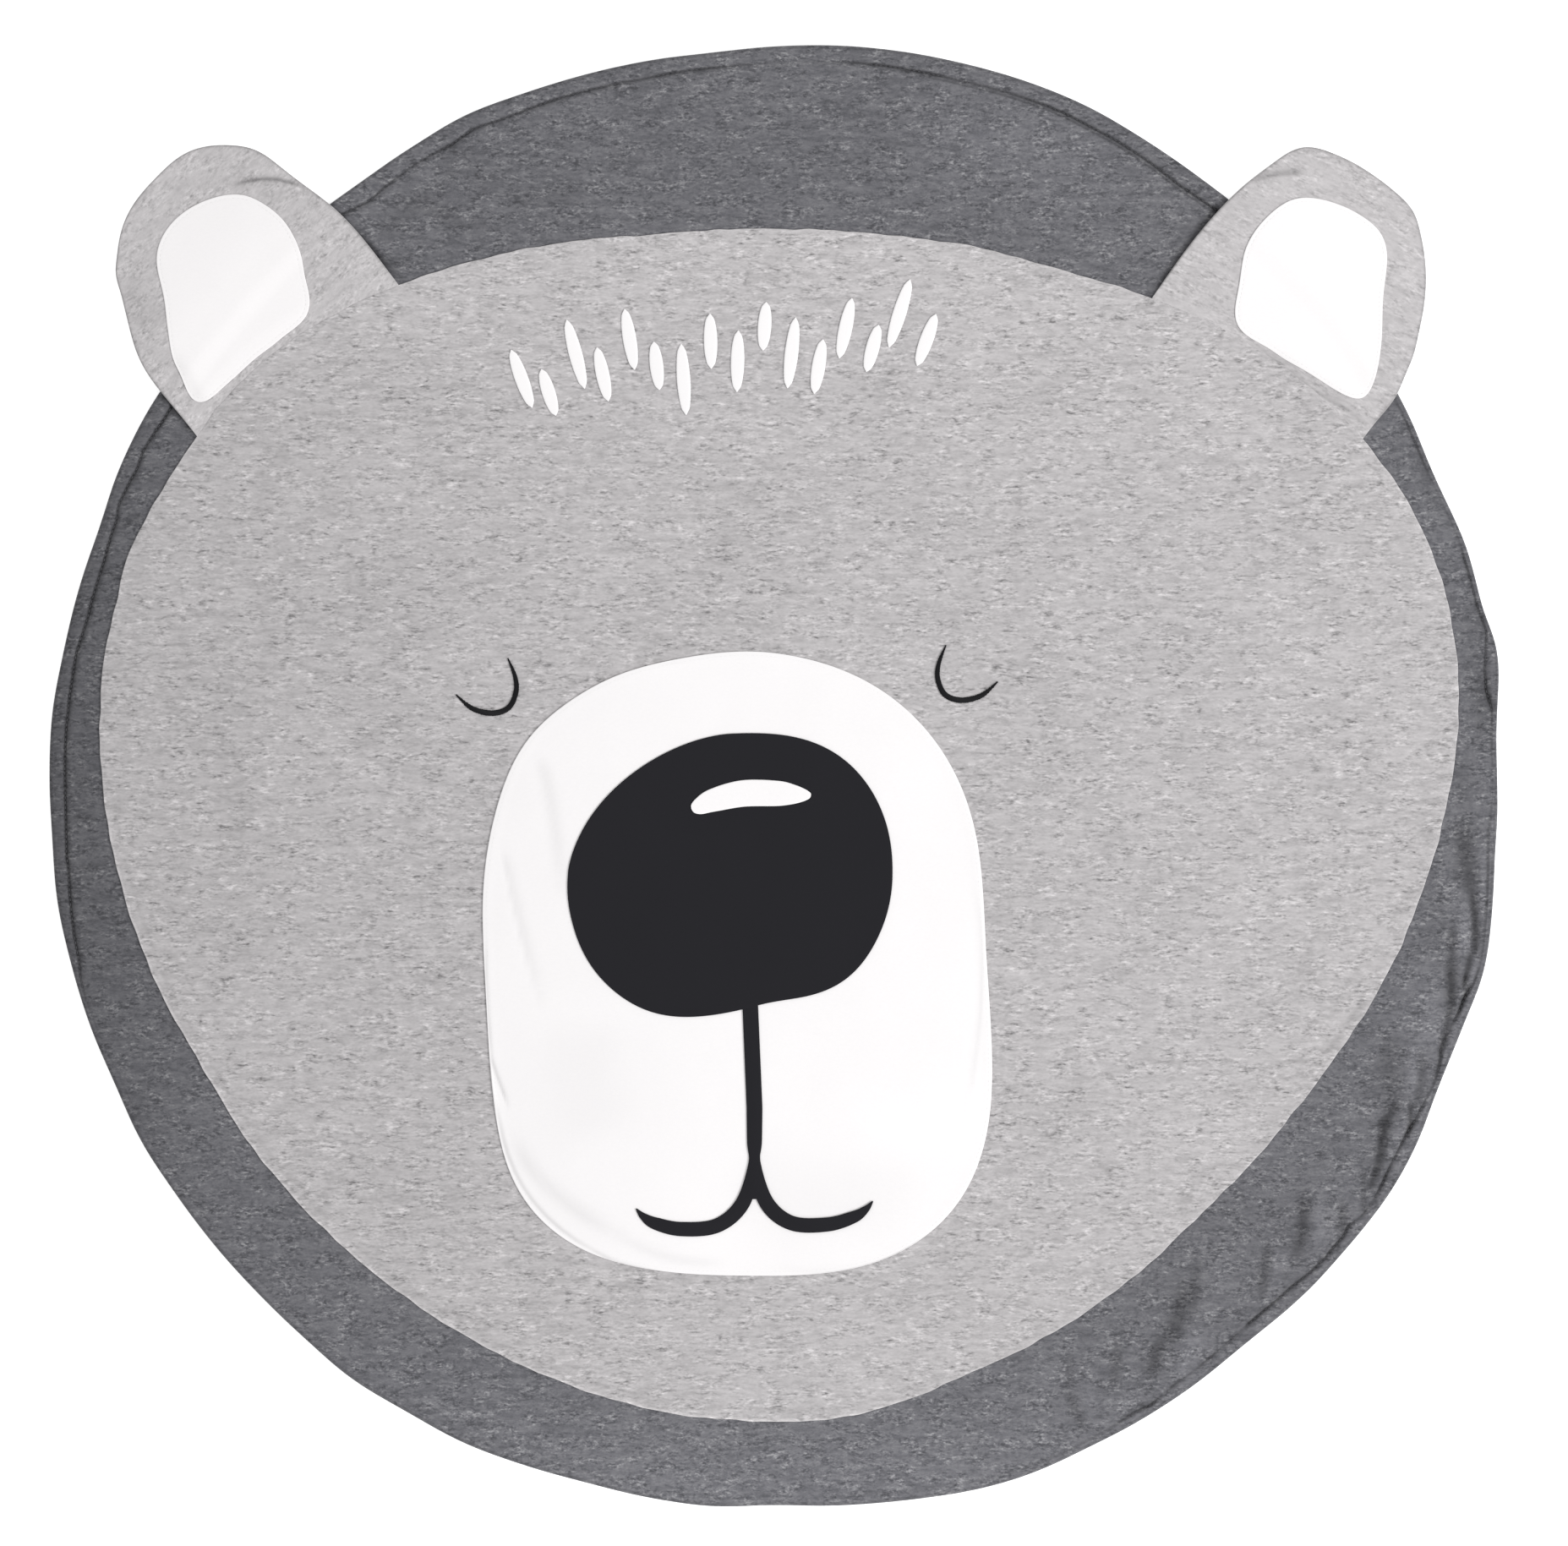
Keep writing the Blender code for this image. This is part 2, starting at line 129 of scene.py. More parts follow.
# %% [markdown]
# ## Light
# The paper sweep is lit evenly all round, and one broad lamp stands low at the right. Folds only show where
# light crosses them. The near side of the rug is a little brighter than the far side, because the lamp is
# close.

# %% Light
SKY_STRENGTH = 0.78
LAMP_POWER = 165.0
LAMP_AT = (4.0, -1.3, 2.9)  # metres from the rug's middle
LAMP_SIZE = 1.8  # metres

sky = bpy.data.worlds.new("studio")
sky.use_nodes = True
around = sky.node_tree.nodes["Background"]
around.inputs["Color"].default_value = (1, 1, 1, 1)
around.inputs["Strength"].default_value = SKY_STRENGTH
bpy.context.scene.world = sky

lamp = placed("lamp", bpy.data.lights.new("lamp", "AREA"))
lamp.data.energy = LAMP_POWER
lamp.data.size = LAMP_SIZE
lamp.location = LAMP_AT
lamp.rotation_euler = Vector(LAMP_AT).to_track_quat("Z", "Y").to_euler()
lamp.visible_camera = False
bpy.context.scene.view_settings.view_transform = "Standard"
print("lamp", round(Vector(LAMP_AT).length, 2), "m from the rug")

# %% [markdown]
# ## The mat's rim
# A maker cuts the mat round, and the sewing lets its rim out or draws it in a little along the way. An
# outline could be a list of points, but a circle with soft bulges is easier to read and to change. Each bulge
# has an angle, a spread and a height. A short row of small amounts adds the finer unevenness of the seam.

# %% The mat's rim
MAT_RADIUS = 452
# angle and spread in degrees, mm outwards
RIM_BULGES = [
    (10, 3.5, 6), (20, 9, -4), (68, 13, 6), (104, 13, -3.5), (160, 22, -6.5), (236, 15, 3), (289, 5, 3),
    (306, 20, 6.5), (326, 6, 3), (354, 6, -6), (18, 2, 1.4), (13, 1.5, -1.6), (358.5, 2.2, 1.3),
]
# mm that the sewing has let the rim out, at every 5 degrees
RIM_DRAWN = [
    -2.8, -3.8, -2.3, -0.5, 1.3, -0.8, 1.6, 2, 2, 0.5, -0.7, -1.9, -2, -0.9, -1.2, -1.4, -0.7, -0.2, -0.6,
    -1.5, 0.1, 0.6, 0.8, 2.4, -0.7, -2.3, -1, -1, -0.8, 0.3, 2.2, 1.7, -1.4, -0.4, -0.3, 1.4, 0.4, -0.8, 0.8,
    -0.3, -0.5, -1.9, 0.1, -1.5, -1.8, -2.3, -1.9, 0.6, -1, 0.7, -0.6, -1.5, -0.2, 0.5, -3, -1, -0.2, 0.4,
    0.1, -0.7, -0.1, -1.2, -2.7, 0, -0.2, 0.2, 0.4, -2.3, -0.6, 4.2, 3.4, 1.5,
]


def bell(distance, spread):
    return np.exp(-0.5 * (distance / spread) ** 2)


def degrees_off(angle, centre):
    """How far each angle is from centre, the short way round."""
    return (np.degrees(angle) - centre + 180) % 360 - 180


def drawn(angle, table):
    """Small amounts, given at even steps round an outline, made into a smooth line."""
    step = 360 / len(table)
    weight = bell(degrees_off(angle[:, None], np.arange(len(table)) * step), 0.5 * step)
    return weight @ np.array(table) / weight.sum(axis=1)


def bulging(angle, bulges):
    return sum(out * bell(degrees_off(angle, centre), spread) for centre, spread, out in bulges)


def rim_radius(angle):
    return MAT_RADIUS + bulging(angle, RIM_BULGES) + drawn(angle, RIM_DRAWN)


print("rim", np.round(rim_radius(np.radians([0.0, 90.0, 180.0, 270.0]))), "mm from the middle")

# %% [markdown]
# ## The eggs of the face
# The head, the muzzle and the nose are broad eggs. An egg here is four quarter curves, each with its own
# squareness: a power of 2 gives an ellipse, and more gives a fuller corner. The solids have the same eggs, so
# the fine pieces lie where they do. Bulges on top are where the cloth was cut or sewn a little off the plan.

# %% Eggs
HEAD = dict(middle=(4.5, 33), half_width=419, above=305, below=434, powers=(2.4, 2.2, 1.93, 1.7))
MUZZLE = dict(middle=(-24, -100), half_width=157, above=176, below=209, powers=(2.4, 2.3, 3.1, 3.6))
NOSE = dict(middle=(-27, -60), half_width=100, above=87, below=88, powers=(1.75, 2.25, 2.6, 2.1))
FARTHEST = 600.0  # no outline goes so far


def egg_fullness(egg, x, y):
    """Below 1 inside the egg. powers: upper left, upper right, lower left, lower right."""
    x, y = x - egg["middle"][0], y - egg["middle"][1]
    up_left, up_right, low_left, low_right = egg["powers"]
    power = np.where(y > 0, np.where(x > 0, up_right, up_left), np.where(x > 0, low_right, low_left))
    tall = np.where(y > 0, egg["above"], egg["below"])
    return (np.abs(x) / egg["half_width"]) ** power + (np.abs(y) / tall) ** power


def reach(inside, centre, angle):
    """How far from centre, along each angle, inside(x, y) stops being true: halved 30 times."""
    near, far = np.zeros_like(angle), np.full_like(angle, FARTHEST)
    for _ in range(30):
        middle = (near + far) / 2
        ok = inside(centre[0] + middle * np.cos(angle), centre[1] + middle * np.sin(angle))
        near, far = np.where(ok, middle, near), np.where(ok, far, middle)
    return near


def egg_reach(egg, centre, angle):
    return reach(lambda x, y: egg_fullness(egg, x, y) < 1, centre, angle)


print("muzzle", 2 * MUZZLE["half_width"], "mm wide,", MUZZLE["above"] + MUZZLE["below"], "mm tall")

# %% Bulges of the eggs
# as for the rim: angle and spread in degrees, mm outwards
HEAD_BULGES = [
    (62, 11, -5.3), (153, 6, -6), (347, 19, -7.2), (182, 11, 2.5), (10, 16, 3.6), (207, 4, -2.3),
    (343, 9, 6.1), (288, 4, -2.1), (103, 4, -1.4), (269, 4, -1.9), (166, 2.5, -2.2), (314, 3.5, -1.6),
    (69, 4, 1.9),
]
# waves round the edge, mm, shift
HEAD_TREMBLE = [(47, 0.16, 1), (71, 0.15, 2.2), (113, 0.14, 0.5), (149, 0.12, 3.1)]
MUZZLE_BULGES = [
    (8, 14, -3.2), (137, 9, 2.6), (103, 10, -2.4), (203, 16, -3.4), (228, 7, 2), (252, 9, -2), (321, 13, 5.2),
    (301, 9, -2.8), (90, 8, 1.6), (124, 8, -1.2),
]
NOSE_BULGES = [
    (52, 17, 3), (125, 36, -2.2), (242, 13, 3.4), (287, 13, -5.6), (319, 11, 1.7), (186, 8, 1.4),
]


def planned_head(angle):
    """The head's edge as it was cut, seen from the mat's middle."""
    return egg_reach(HEAD, (0, 0), angle)


def head_radius(angle):
    """The head's edge as it was sewn, with the fine tremble of a turned edge."""
    tremble = sum(tall * np.sin(waves * angle + shift) for waves, tall, shift in HEAD_TREMBLE)
    return planned_head(angle) + bulging(angle, HEAD_BULGES) + tremble


print("head spans", np.round(head_radius(np.radians([0.0, 90.0, 180.0, 270.0]))), "mm from the middle")

# %% [markdown]
# ## How the cloth lies
# The rug lies flat on the floor, but at its lower right the double cloth has more length than its seam, and
# stands in soft ridges. Every layer follows them. Over the whole rug the cloth has a slow, faint swell, as
# any cloth has that was folded up before. Both are heights worked out from a place, so that every layer can
# ask for them. A simulation would wrinkle the cloth anywhere, and here the ridges have to lie where they do.

# %% Ridges and swell
# from x, y to x, y; spread; height
FOLDS = [
    (410, -30, 423, -118, 10, 2.4), (400, -120, 399, -178, 12, 1.4), (388, -192, 380, -256, 11, 2.4),
    (356, -205, 352, -268, 13, 1.6), (338, -256, 326, -304, 11, 2.2), (300, -276, 290, -334, 13, 1.8),
    (262, -312, 246, -366, 12, 2), (214, -346, 206, -396, 13, 1.4),
]
# heading in degrees, length, shift, height
SWELLS = [
    (12, 210, 0.4, 0.16), (74, 163, 1.9, 0.13), (131, 118, 3.1, 0.1), (38, 87, 5.2, 0.07),
    (101, 71, 0.9, 0.06), (158, 139, 2.6, 0.1),
]


def eased(t):
    t = np.clip(t, 0, 1)
    return t * t * (3 - 2 * t)


def along_and_across(x, y, start, end):
    """For a line from start to end: the share of the way along it, and the distance off it, left positive."""
    run_x, run_y = end[0] - start[0], end[1] - start[1]
    length = math.hypot(run_x, run_y)
    along = ((x - start[0]) * run_x + (y - start[1]) * run_y) / length**2
    across = ((y - start[1]) * run_x - (x - start[0]) * run_y) / length
    return along, across


def lift(x, y):
    """The ridges. Each dies away over half its length beyond either end."""
    height = np.zeros_like(x)
    for from_x, from_y, to_x, to_y, spread, tall in FOLDS:
        along, across = along_and_across(x, y, (from_x, from_y), (to_x, to_y))
        ends = np.where(along < 0, eased(1 + 2 * along), eased(3 - 2 * along))
        height += tall * bell(across, spread) * np.minimum(ends, 1)
    return height


def swell(x, y):
    """A faint unevenness of the laid cloth: a few long waves that cross."""
    height = np.zeros_like(x)
    for heading, length, shift, tall in SWELLS:
        heading = math.radians(heading)
        height += tall * np.sin(math.tau * (x * math.cos(heading) + y * math.sin(heading)) / length + shift)
    return height


print(len(FOLDS), "ridges up to", max(fold[-1] for fold in FOLDS), "mm high")

# %% [markdown]
# ## Creases
# A fold in soft cloth isn't a neat wave. It has a steep side and a gentle side, it starts somewhere and dies
# away, and deep in it the fibres hide from the light. So each crease is drawn along a line through three
# places, with its own width on either side, its height, and how much painted shade darkens its bottom. A ridge
# is a crease with a height above zero, and painted light makes it paler.

# %% Creases of the mat and the head
# x, y of the start, of a place on the way and of the end; width left and right of it; height; darkening by
# painted shade, paler by painted light below zero
RIM_CREASES = [
    (424, -26, 427, -52, 430, -74, 4.5, 4.8, -0.9, 0.25),
    (430, -68, 432.5, -90, 432, -111, 1.9, 1.9, -1.1, 0.38),
    (430, -108, 428, -119, 425.5, -131, 1.5, 1.6, -0.9, 0.34),
    (424, -78, 425, -96, 422, -112, 3.4, 3.4, 0.7, -0.1),
    (437, -40, 437.5, -62, 436, -88, 2, 2, 0.3, -0.08),
    (418, -92, 418, -105, 417, -119, 2, 2, -0.6, 0.2),
    (417, -115, 417.5, -130, 418, -146, 2.4, 2.3, -1.2, 0.38),
    (417.5, -142, 415, -155, 411, -171, 1.6, 1.8, -0.9, 0.26),
    (411, -167, 410.5, -178, 406.5, -191, 1.5, 1.6, -0.7, 0.12),
    (430.5, -127, 426, -136, 423, -147, 0.7, 0.9, -0.7, 0.22),
    (427, -122, 426, -127, 425.5, -133, 0.8, 0.8, -0.4, 0.3),
    (432, -112, 430, -124, 428, -130, 1.8, 1.8, 0.4, -0.1),
    (405, -120, 404, -145, 402, -170, 5, 5, 0.6, -0.04),
    (382, -158, 378, -178, 382, -206, 6, 5, -0.6, 0.1),
    (386, -202, 380, -208, 376.5, -219, 2.6, 2.4, -0.8, 0.26),
    (376.5, -211, 374.5, -228, 371, -246, 2.3, 2.1, -1.2, 0.36),
    (372, -241, 369.5, -249, 366.5, -256, 1.6, 1.6, -0.7, 0.28),
    (393, -164, 394, -180, 391, -198, 3.2, 3, 0.6, -0.1),
    (387, -210, 383, -226, 377, -241, 3.4, 3.4, 0.7, -0.05),
    (398, -168, 399, -187, 396, -206, 2.2, 2.4, -0.6, 0.2),
    (392, -201, 392.5, -212, 390.5, -223, 1.4, 1.2, -0.6, 0.32),
    (396, -160, 404, -163, 411, -161, 3, 2.5, 0.4, -0.03),
    (363, -238, 363.5, -260, 363, -270, 1.6, 1.6, -0.5, 0.14),
    (350, -262, 350.5, -273, 349, -284, 2, 2, -0.5, 0.2),
    (326, -258, 325.5, -278, 321, -299, 2.8, 2.6, -0.9, 0.23),
    (334, -256, 335, -276, 333, -293, 4, 4, 0.6, -0.08),
    (304, -288, 302, -306, 300, -324, 2.4, 2.4, -0.7, 0.18),
    (310, -290, 309, -306, 307, -322, 3.6, 3.4, 0.5, -0.06),
    (261, -296, 260, -314, 258, -334, 2.4, 2.4, -0.5, 0.14),
    (253, -312, 249, -333, 242, -350, 4.2, 4, -1.1, 0.22),
    (240, -346, 235, -358, 231.5, -373, 3.2, 3, -0.8, 0.22),
    (262, -340, 254, -356, 245, -370, 5, 5, 0.6, -0.07),
    (211, -346, 210.5, -362, 208, -380, 2.8, 2.6, -0.6, 0.16),
    (182, -356, 182, -367, 180, -379, 1.8, 1.8, -0.3, 0.1),
    (181, -378, 185, -391, 191, -405, 2.6, 2.4, -0.5, 0.14),
    (196, -372, 194, -386, 196, -398, 4, 4, 0.4, -0.05),
    (280, -290, 277, -306, 272, -322, 4.5, 4.5, 0.4, -0.03),
    (416, 20, 421, 0, 424, -24, 5, 5, -0.5, 0.08),
    (432, 66, 436, 40, 434, 14, 4, 3, -0.4, 0.08),
    (441, 52, 443, 45, 446, 38, 1.6, 2.4, -0.5, 0.16),
    (398, 205, 402, 180, 413, 160, 3, 3, -0.4, 0.06),
    (-246, 330, -230, 348, -205, 366, 5, 4, -0.6, 0.06),
    (-262, 322, -244, 320, -222, 314, 3, 3, -0.5, 0.07),
    (-236, 356, -216, 352, -196, 340, 4, 4, -0.5, 0.05),
    (-405, 152, -397, 157, -391, 156, 1.2, 1.2, -0.3, 0.16),
    (-405, 122, -410, 124, -414, 126, 1, 1, -0.2, 0.14),
    (-396, 186, -390, 184, -384, 185, 1.4, 1.2, -0.2, 0.1),
    (-418, -56, -425, -57, -433, -60, 2.2, 1.8, -0.3, 0.07),
    (244, 322, 262, 338, 274, 350, 6, 3, -0.5, 0.06),
    (-432, -2, -428, -4, -422, -3, 1.6, 1.6, -0.3, 0.12),
    (-434, -24, -428, -26, -420, -24, 1.6, 1.6, -0.3, 0.1),
    # painted shadows of the ears' edges on the mat, with no height
    (-276, 351, -254, 330, -230, 304, 1.6, 1.6, 0, 0.45),
    (283, 360, 258, 328, 230, 292, 1.5, 1.5, 0, 0.6),
    (80, 398, 150, 388, 225, 362, 22, 22, 0, -0.06),
    (432, 110, 436, 80, 436, 30, 9, 9, 0, 0.06),
    (395, -110, 392, -150, 382, -185, 12, 12, 0, -0.04),
    # painted shadow under the left ear's lower edge, with no height
    (-380, 237, -368, 224, -355, 207, 1.2, 1.2, 0, 0.45),
    (-196, 388, -184, 376, -176, 360, 3, 3, -0.3, 0.05),
    (-198, 394, -200, 381, -202, 366, 3.5, 3.5, -0.4, 0.06),
    (-172, 359, -147, 358, -116, 362, 4, 4, -0.5, 0.06),
    (-106, 377, -96, 380, -86, 381, 3, 3, -0.3, 0.05),
    (-214, 352, -196, 344, -176, 340, 4, 4, -0.3, 0.05),
]
HEAD_CREASES = [
    (364, -134, 354, -152, 334, -176, 3.4, 2, -0.5, 0.07),
    (260, -238, 255, -254, 250, -270, 3.4, 2, -0.5, 0.07),
    (330, -168, 316, -184, 298, -206, 7, 5, -0.4, 0.03),
    (-326, 190, -300, 214, -262, 236, 8, 6, -0.4, 0.02),
    (-330, 60, -336, 20, -330, -30, 9, 9, -0.4, 0.03),
    (-368, 206, -357, 190, -352, 170, 2, 1.2, -0.3, 0.05),
    (300, 250, 318, 238, 336, 218, 1, 1.2, -0.25, 0.06),
    (-345, 218, -320, 236, -300, 252, 1, 1, -0.2, 0.04),
]
print(len(RIM_CREASES), "creases in the mat,", len(HEAD_CREASES), "in the head")


# %% Shaping creases
WAY_STEPS = 11  # places that a crease's line is tried at


def shape_creases(x, y, creases):
    """Height and painted shade of creases, painted light where it is below zero, each along a smooth line
    through its three places.
    """
    height, dark = np.zeros_like(x), np.zeros_like(x)
    for x0, y0, x1, y1, x2, y2, left, right, tall, shade in creases:
        margin = 3.2 * max(left, right) + 2
        near = (min(x0, x2) - margin < x) & (x < max(x0, x2) + margin)
        near &= (min(y0, y1, y2) - margin < y) & (y < max(y0, y1, y2) + margin)
        if not near.any():
            continue
        at_x, at_y = x[near], y[near]
        bend_x, bend_y = 2 * x1 - (x0 + x2) / 2, 2 * y1 - (y0 + y2) / 2
        length = math.hypot(x2 - x0, y2 - y0)
        close, side, share = np.full_like(at_x, 1e9), np.zeros_like(at_x), np.zeros_like(at_x)
        for t in np.linspace(0, 1, WAY_STEPS):
            way_x = (1 - t) ** 2 * x0 + 2 * t * (1 - t) * bend_x + t * t * x2
            way_y = (1 - t) ** 2 * y0 + 2 * t * (1 - t) * bend_y + t * t * y2
            go_x = (1 - t) * (bend_x - x0) + t * (x2 - bend_x)
            go_y = (1 - t) * (bend_y - y0) + t * (y2 - bend_y)
            go = math.hypot(go_x, go_y)
            ahead = ((at_x - way_x) * go_x + (at_y - way_y) * go_y) / go
            off = ((at_y - way_y) * go_x - (at_x - way_x) * go_y) / go
            away = np.hypot(at_x - way_x, at_y - way_y)
            better = away < close
            close, side = np.where(better, away, close), np.where(better, off, side)
            share = np.where(better, t + ahead / length, share)
        ends = eased((share + 0.12) / 0.4) * eased((1.12 - share) / 0.4)  # it fades in and out
        form = bell(side, np.where(side > 0, left, right)) * ends
        height[near] += tall * form
        dark[near] += shade * form
    return height, dark


deepest = min(crease[-2] for crease in RIM_CREASES)
print("deepest crease", deepest, "mm")

# %% [markdown]
# ## A way to make closed cloth
# Each piece is drawn as a set of rings of points, from the middle of its face out over its edge and back
# underneath. Neighbouring rings are joined by four sided faces. The result is a thin closed body with a soft
# edge, as a turned and sewn piece has. A flat face with a thickness added would keep a hard edge. The painted
# shade of each point, and its painted light, goes with it in an attribute of the mesh.

# %% Rings into a mesh
def ring_at(radius, turn, centre=(0, 0)):
    """x and y of a ring's points."""
    return centre[0] + radius * np.cos(turn), centre[1] + radius * np.sin(turn)


def area_of(x, y):
    """The area inside an outline, given in square metres."""
    return abs(float(np.dot(x, np.roll(y, -1)) - np.dot(y, np.roll(x, -1)))) / 2e6


def ringed(name, rings, start, end, shades):
    """rings: arrays of (count, 3). start and end: the points that close the first and last ring."""
    count = len(rings[0])
    points = np.concatenate(list(rings) + [np.array([p], float) for p in (start, end)])
    first = np.arange((len(rings) - 1) * count)
    ahead = np.where(first % count == count - 1, first - count + 1, first + 1)
    faces = np.stack([first, first + count, ahead + count, ahead], axis=1).tolist()
    middle, last = len(rings) * count, (len(rings) - 1) * count
    for a in range(count):
        faces.append([middle, a, (a + 1) % count])
    for a in range(count):
        faces.append([middle + 1, last + (a + 1) % count, last + a])
    mesh = bpy.data.meshes.new(name)
    mesh.from_pydata((points * MM).tolist(), [], faces)
    mesh.shade_smooth()
    layer = mesh.attributes.new("painted_shade_and_light", "FLOAT", "POINT")
    layer.data.foreach_set("value", np.concatenate(list(shades) + [np.zeros(2)]).astype(np.float32))
    print(name, len(points), "points", len(faces), "faces")
    return placed(name, mesh)


print("a ring of radius 100 mm holds", round(area_of(*ring_at(100, np.linspace(0, math.tau, 360))), 4), "m2")

# %% [markdown]
# ## Building finishes from nodes
# A finish is a small network of nodes. A few helpers keep the networks short: one adds a node with its
# inputs, others add outputs up, pick a range, make a colour ramp, or make noise that is stretched sideways.
# Every finish gets its colour and its fine relief in the same way.

# %% Helpers for nodes
def add(tree, kind, inputs=None, **settings):
    """One new node, with its settings and its inputs: a value, or the output of another node."""
    node = tree.nodes.new(kind)
    for key, value in settings.items():
        setattr(node, key, value)
    for key, value in (inputs or {}).items():
        socket = node.inputs[key]
        if isinstance(value, bpy.types.NodeSocket):
            tree.links.new(value, socket)
        else:
            socket.default_value = value
    return node


def worked(tree, operation, *values):
    """The output of a sum, product, sine or the like of its values."""
    return add(tree, "ShaderNodeMath", dict(enumerate(values)), operation=operation).outputs[0]


def sums(tree, *terms):
    """The weighted sum of node outputs: (output, weight) pairs, and plain numbers."""
    total = None
    for term in terms:
        plain = isinstance(term, (int, float))
        part = float(term) if plain else worked(tree, "MULTIPLY", term[0], float(term[1]))
        total = part if total is None else worked(tree, "ADD", total, part)
    return total


def ranged(tree, value, low, high, at_low=0.0, at_high=1.0):
    """at_low up to the value low, at_high from the value high, and even steps between."""
    inputs = {"Value": value, "From Min": low, "From Max": high, "To Min": at_low, "To Max": at_high}
    return add(tree, "ShaderNodeMapRange", inputs).outputs["Result"]


def ramp(tree, value, *stops):
    """A colour ramp from (place, colour) stops."""
    node = add(tree, "ShaderNodeValToRGB", {"Fac": value})
    line = node.color_ramp
    while len(line.elements) < len(stops):
        line.elements.new(0.5)
    for element, (place, colour) in zip(line.elements, stops):
        element.position = place
        element.color = (*colour, 1)
    return node.outputs["Color"]


def tinted(tree, colour, amount):
    """One colour times another, or times a grey amount."""
    inputs = {"Factor": 1.0, "A": colour, "B": amount}
    return add(tree, "ShaderNodeMix", inputs, data_type="RGBA", blend_type="MULTIPLY").outputs["Result"]


def parts_of(tree, vector):
    return add(tree, "ShaderNodeSeparateXYZ", {"Vector": vector}).outputs


def cloth_finish(name, roughness=0.9, sheen=0.25, shine=0.12):
    return new_finish(name, {
        "Roughness": roughness, "Specular IOR Level": shine, "Sheen Weight": sheen, "Sheen Roughness": 0.5,
    })


def put_on(tree, shader, colour, height, strength, deep):
    """Gives the shader its colour, and its relief as a bump of that depth."""
    tree.links.new(colour, shader.inputs["Base Color"])
    bump = add(tree, "ShaderNodeBump", {"Height": height, "Strength": strength, "Distance": deep * MM})
    tree.links.new(bump.outputs[0], shader.inputs["Normal"])


print("helpers:", ", ".join(helper.__name__ for helper in (add, worked, sums, ranged, ramp, tinted, put_on)))

# %% [markdown]
# ## Knitting
# Jersey is plain knitting: columns of loops, a little under a millimetre wide. From a step away only a fine
# grain is left of them, so they are a bump and not geometry. The cloth's own place is used, turned by the
# angle at which the piece was cut, so that the grain doesn't slide or stretch.

# %% Helpers for knitted cloth
WALE, COURSE = 0.9, 0.7  # width and height of a loop
NOISE_ROUGHNESS = 0.55


def stretched_noise(tree, place, long, high, detail, shift):
    """Noise whose blobs are long across and high up."""
    scale = (1 / (long * MM), 1 / (high * MM), 1 / (high * MM))
    moved = (shift, shift * 1.7, shift * 0.6)
    scaled = add(tree, "ShaderNodeMapping", {"Vector": place, "Scale": scale, "Location": moved}).outputs[0]
    inputs = {"Vector": scaled, "Scale": 1.0, "Detail": detail, "Roughness": NOISE_ROUGHNESS}
    return add(tree, "ShaderNodeTexNoise", inputs).outputs["Fac"]


def cloth_place(tree, turn=0):
    """Where a point is on the cloth, turned by the angle at which the piece was cut."""
    place = add(tree, "ShaderNodeTexCoord").outputs["Object"]
    inputs = {"Vector": place, "Rotation": (0, 0, -math.radians(turn))}
    return add(tree, "ShaderNodeMapping", inputs).outputs[0]


def knit_height(tree, place):
    """The relief of plain knitting: columns of loops with a slant that changes side."""
    parts = parts_of(tree, place)
    column = worked(tree, "SINE", worked(tree, "MULTIPLY", parts["X"], math.tau / (WALE * MM)))
    slant = worked(tree, "ABSOLUTE", column)
    rows = worked(tree, "MULTIPLY", parts["Y"], math.tau / (COURSE * MM))
    row = worked(tree, "SINE", worked(tree, "MULTIPLY_ADD", slant, 1.6, rows))
    return sums(tree, (slant, 0.6), (row, 0.4))


print("a loop is", WALE, "by", COURSE, "mm")

# %% [markdown]
# ## Painted shade and light
# The bottom of a crease keeps its shade from any side, so that shade is painted into the colour: an attribute
# of the mesh paints it in, and paints light where it is below zero. Gradients over a part of the rug paint the
# fall-off of the light across the mat, the head and the muzzle, and lift the ears' tone nearly evenly.

# %% Painted shade in creases, and gradients of painted light
SEEN_TO_LIGHT = 2.2  # the shares are as they are seen, and light takes their power


def add_painted_shade(tree, colour):
    """Paints shade into the bottom of each crease, and painted light where the attribute is below zero."""
    painted_shade_and_light = add(tree, "ShaderNodeAttribute", attribute_name="painted_shade_and_light").outputs["Fac"]
    kept = worked(tree, "SUBTRACT", 1.0, painted_shade_and_light)
    return tinted(tree, colour, worked(tree, "POWER", kept, SEEN_TO_LIGHT))


def toned_with_painted_light(tree, colour, light_and_tone_slopes):
    """A colour with its gradients of painted light and tone, and its painted shade. A slope: (axis, from, to,
    amount at from), in metres.
    """
    if light_and_tone_slopes:
        parts = parts_of(tree, add(tree, "ShaderNodeTexCoord").outputs["Object"])
        amounts = [(ranged(tree, parts[axis], *slope, 0), 1.0) for axis, *slope in light_and_tone_slopes]
        colour = tinted(tree, colour, sums(tree, *amounts, 1.0))
    return add_painted_shade(tree, colour)


print("a hollow of 0.3 keeps", round(0.7**SEEN_TO_LIGHT, 2), "of the light")

# %% [markdown]
# ## Marl jersey
# The yarn in a marl is light and dark at random along its length, and a knitted row lies sideways, so every
# fleck is a short dash, about 5 to 13 mm long and 1 mm high. An image of the cloth would repeat and blur, so
# the flecks are noise that is stretched sideways. Two sizes of it are laid over each other, and single dark
# and light dashes are picked out by a steep range. Broad, faint noise makes some patches busier and others
# calm.

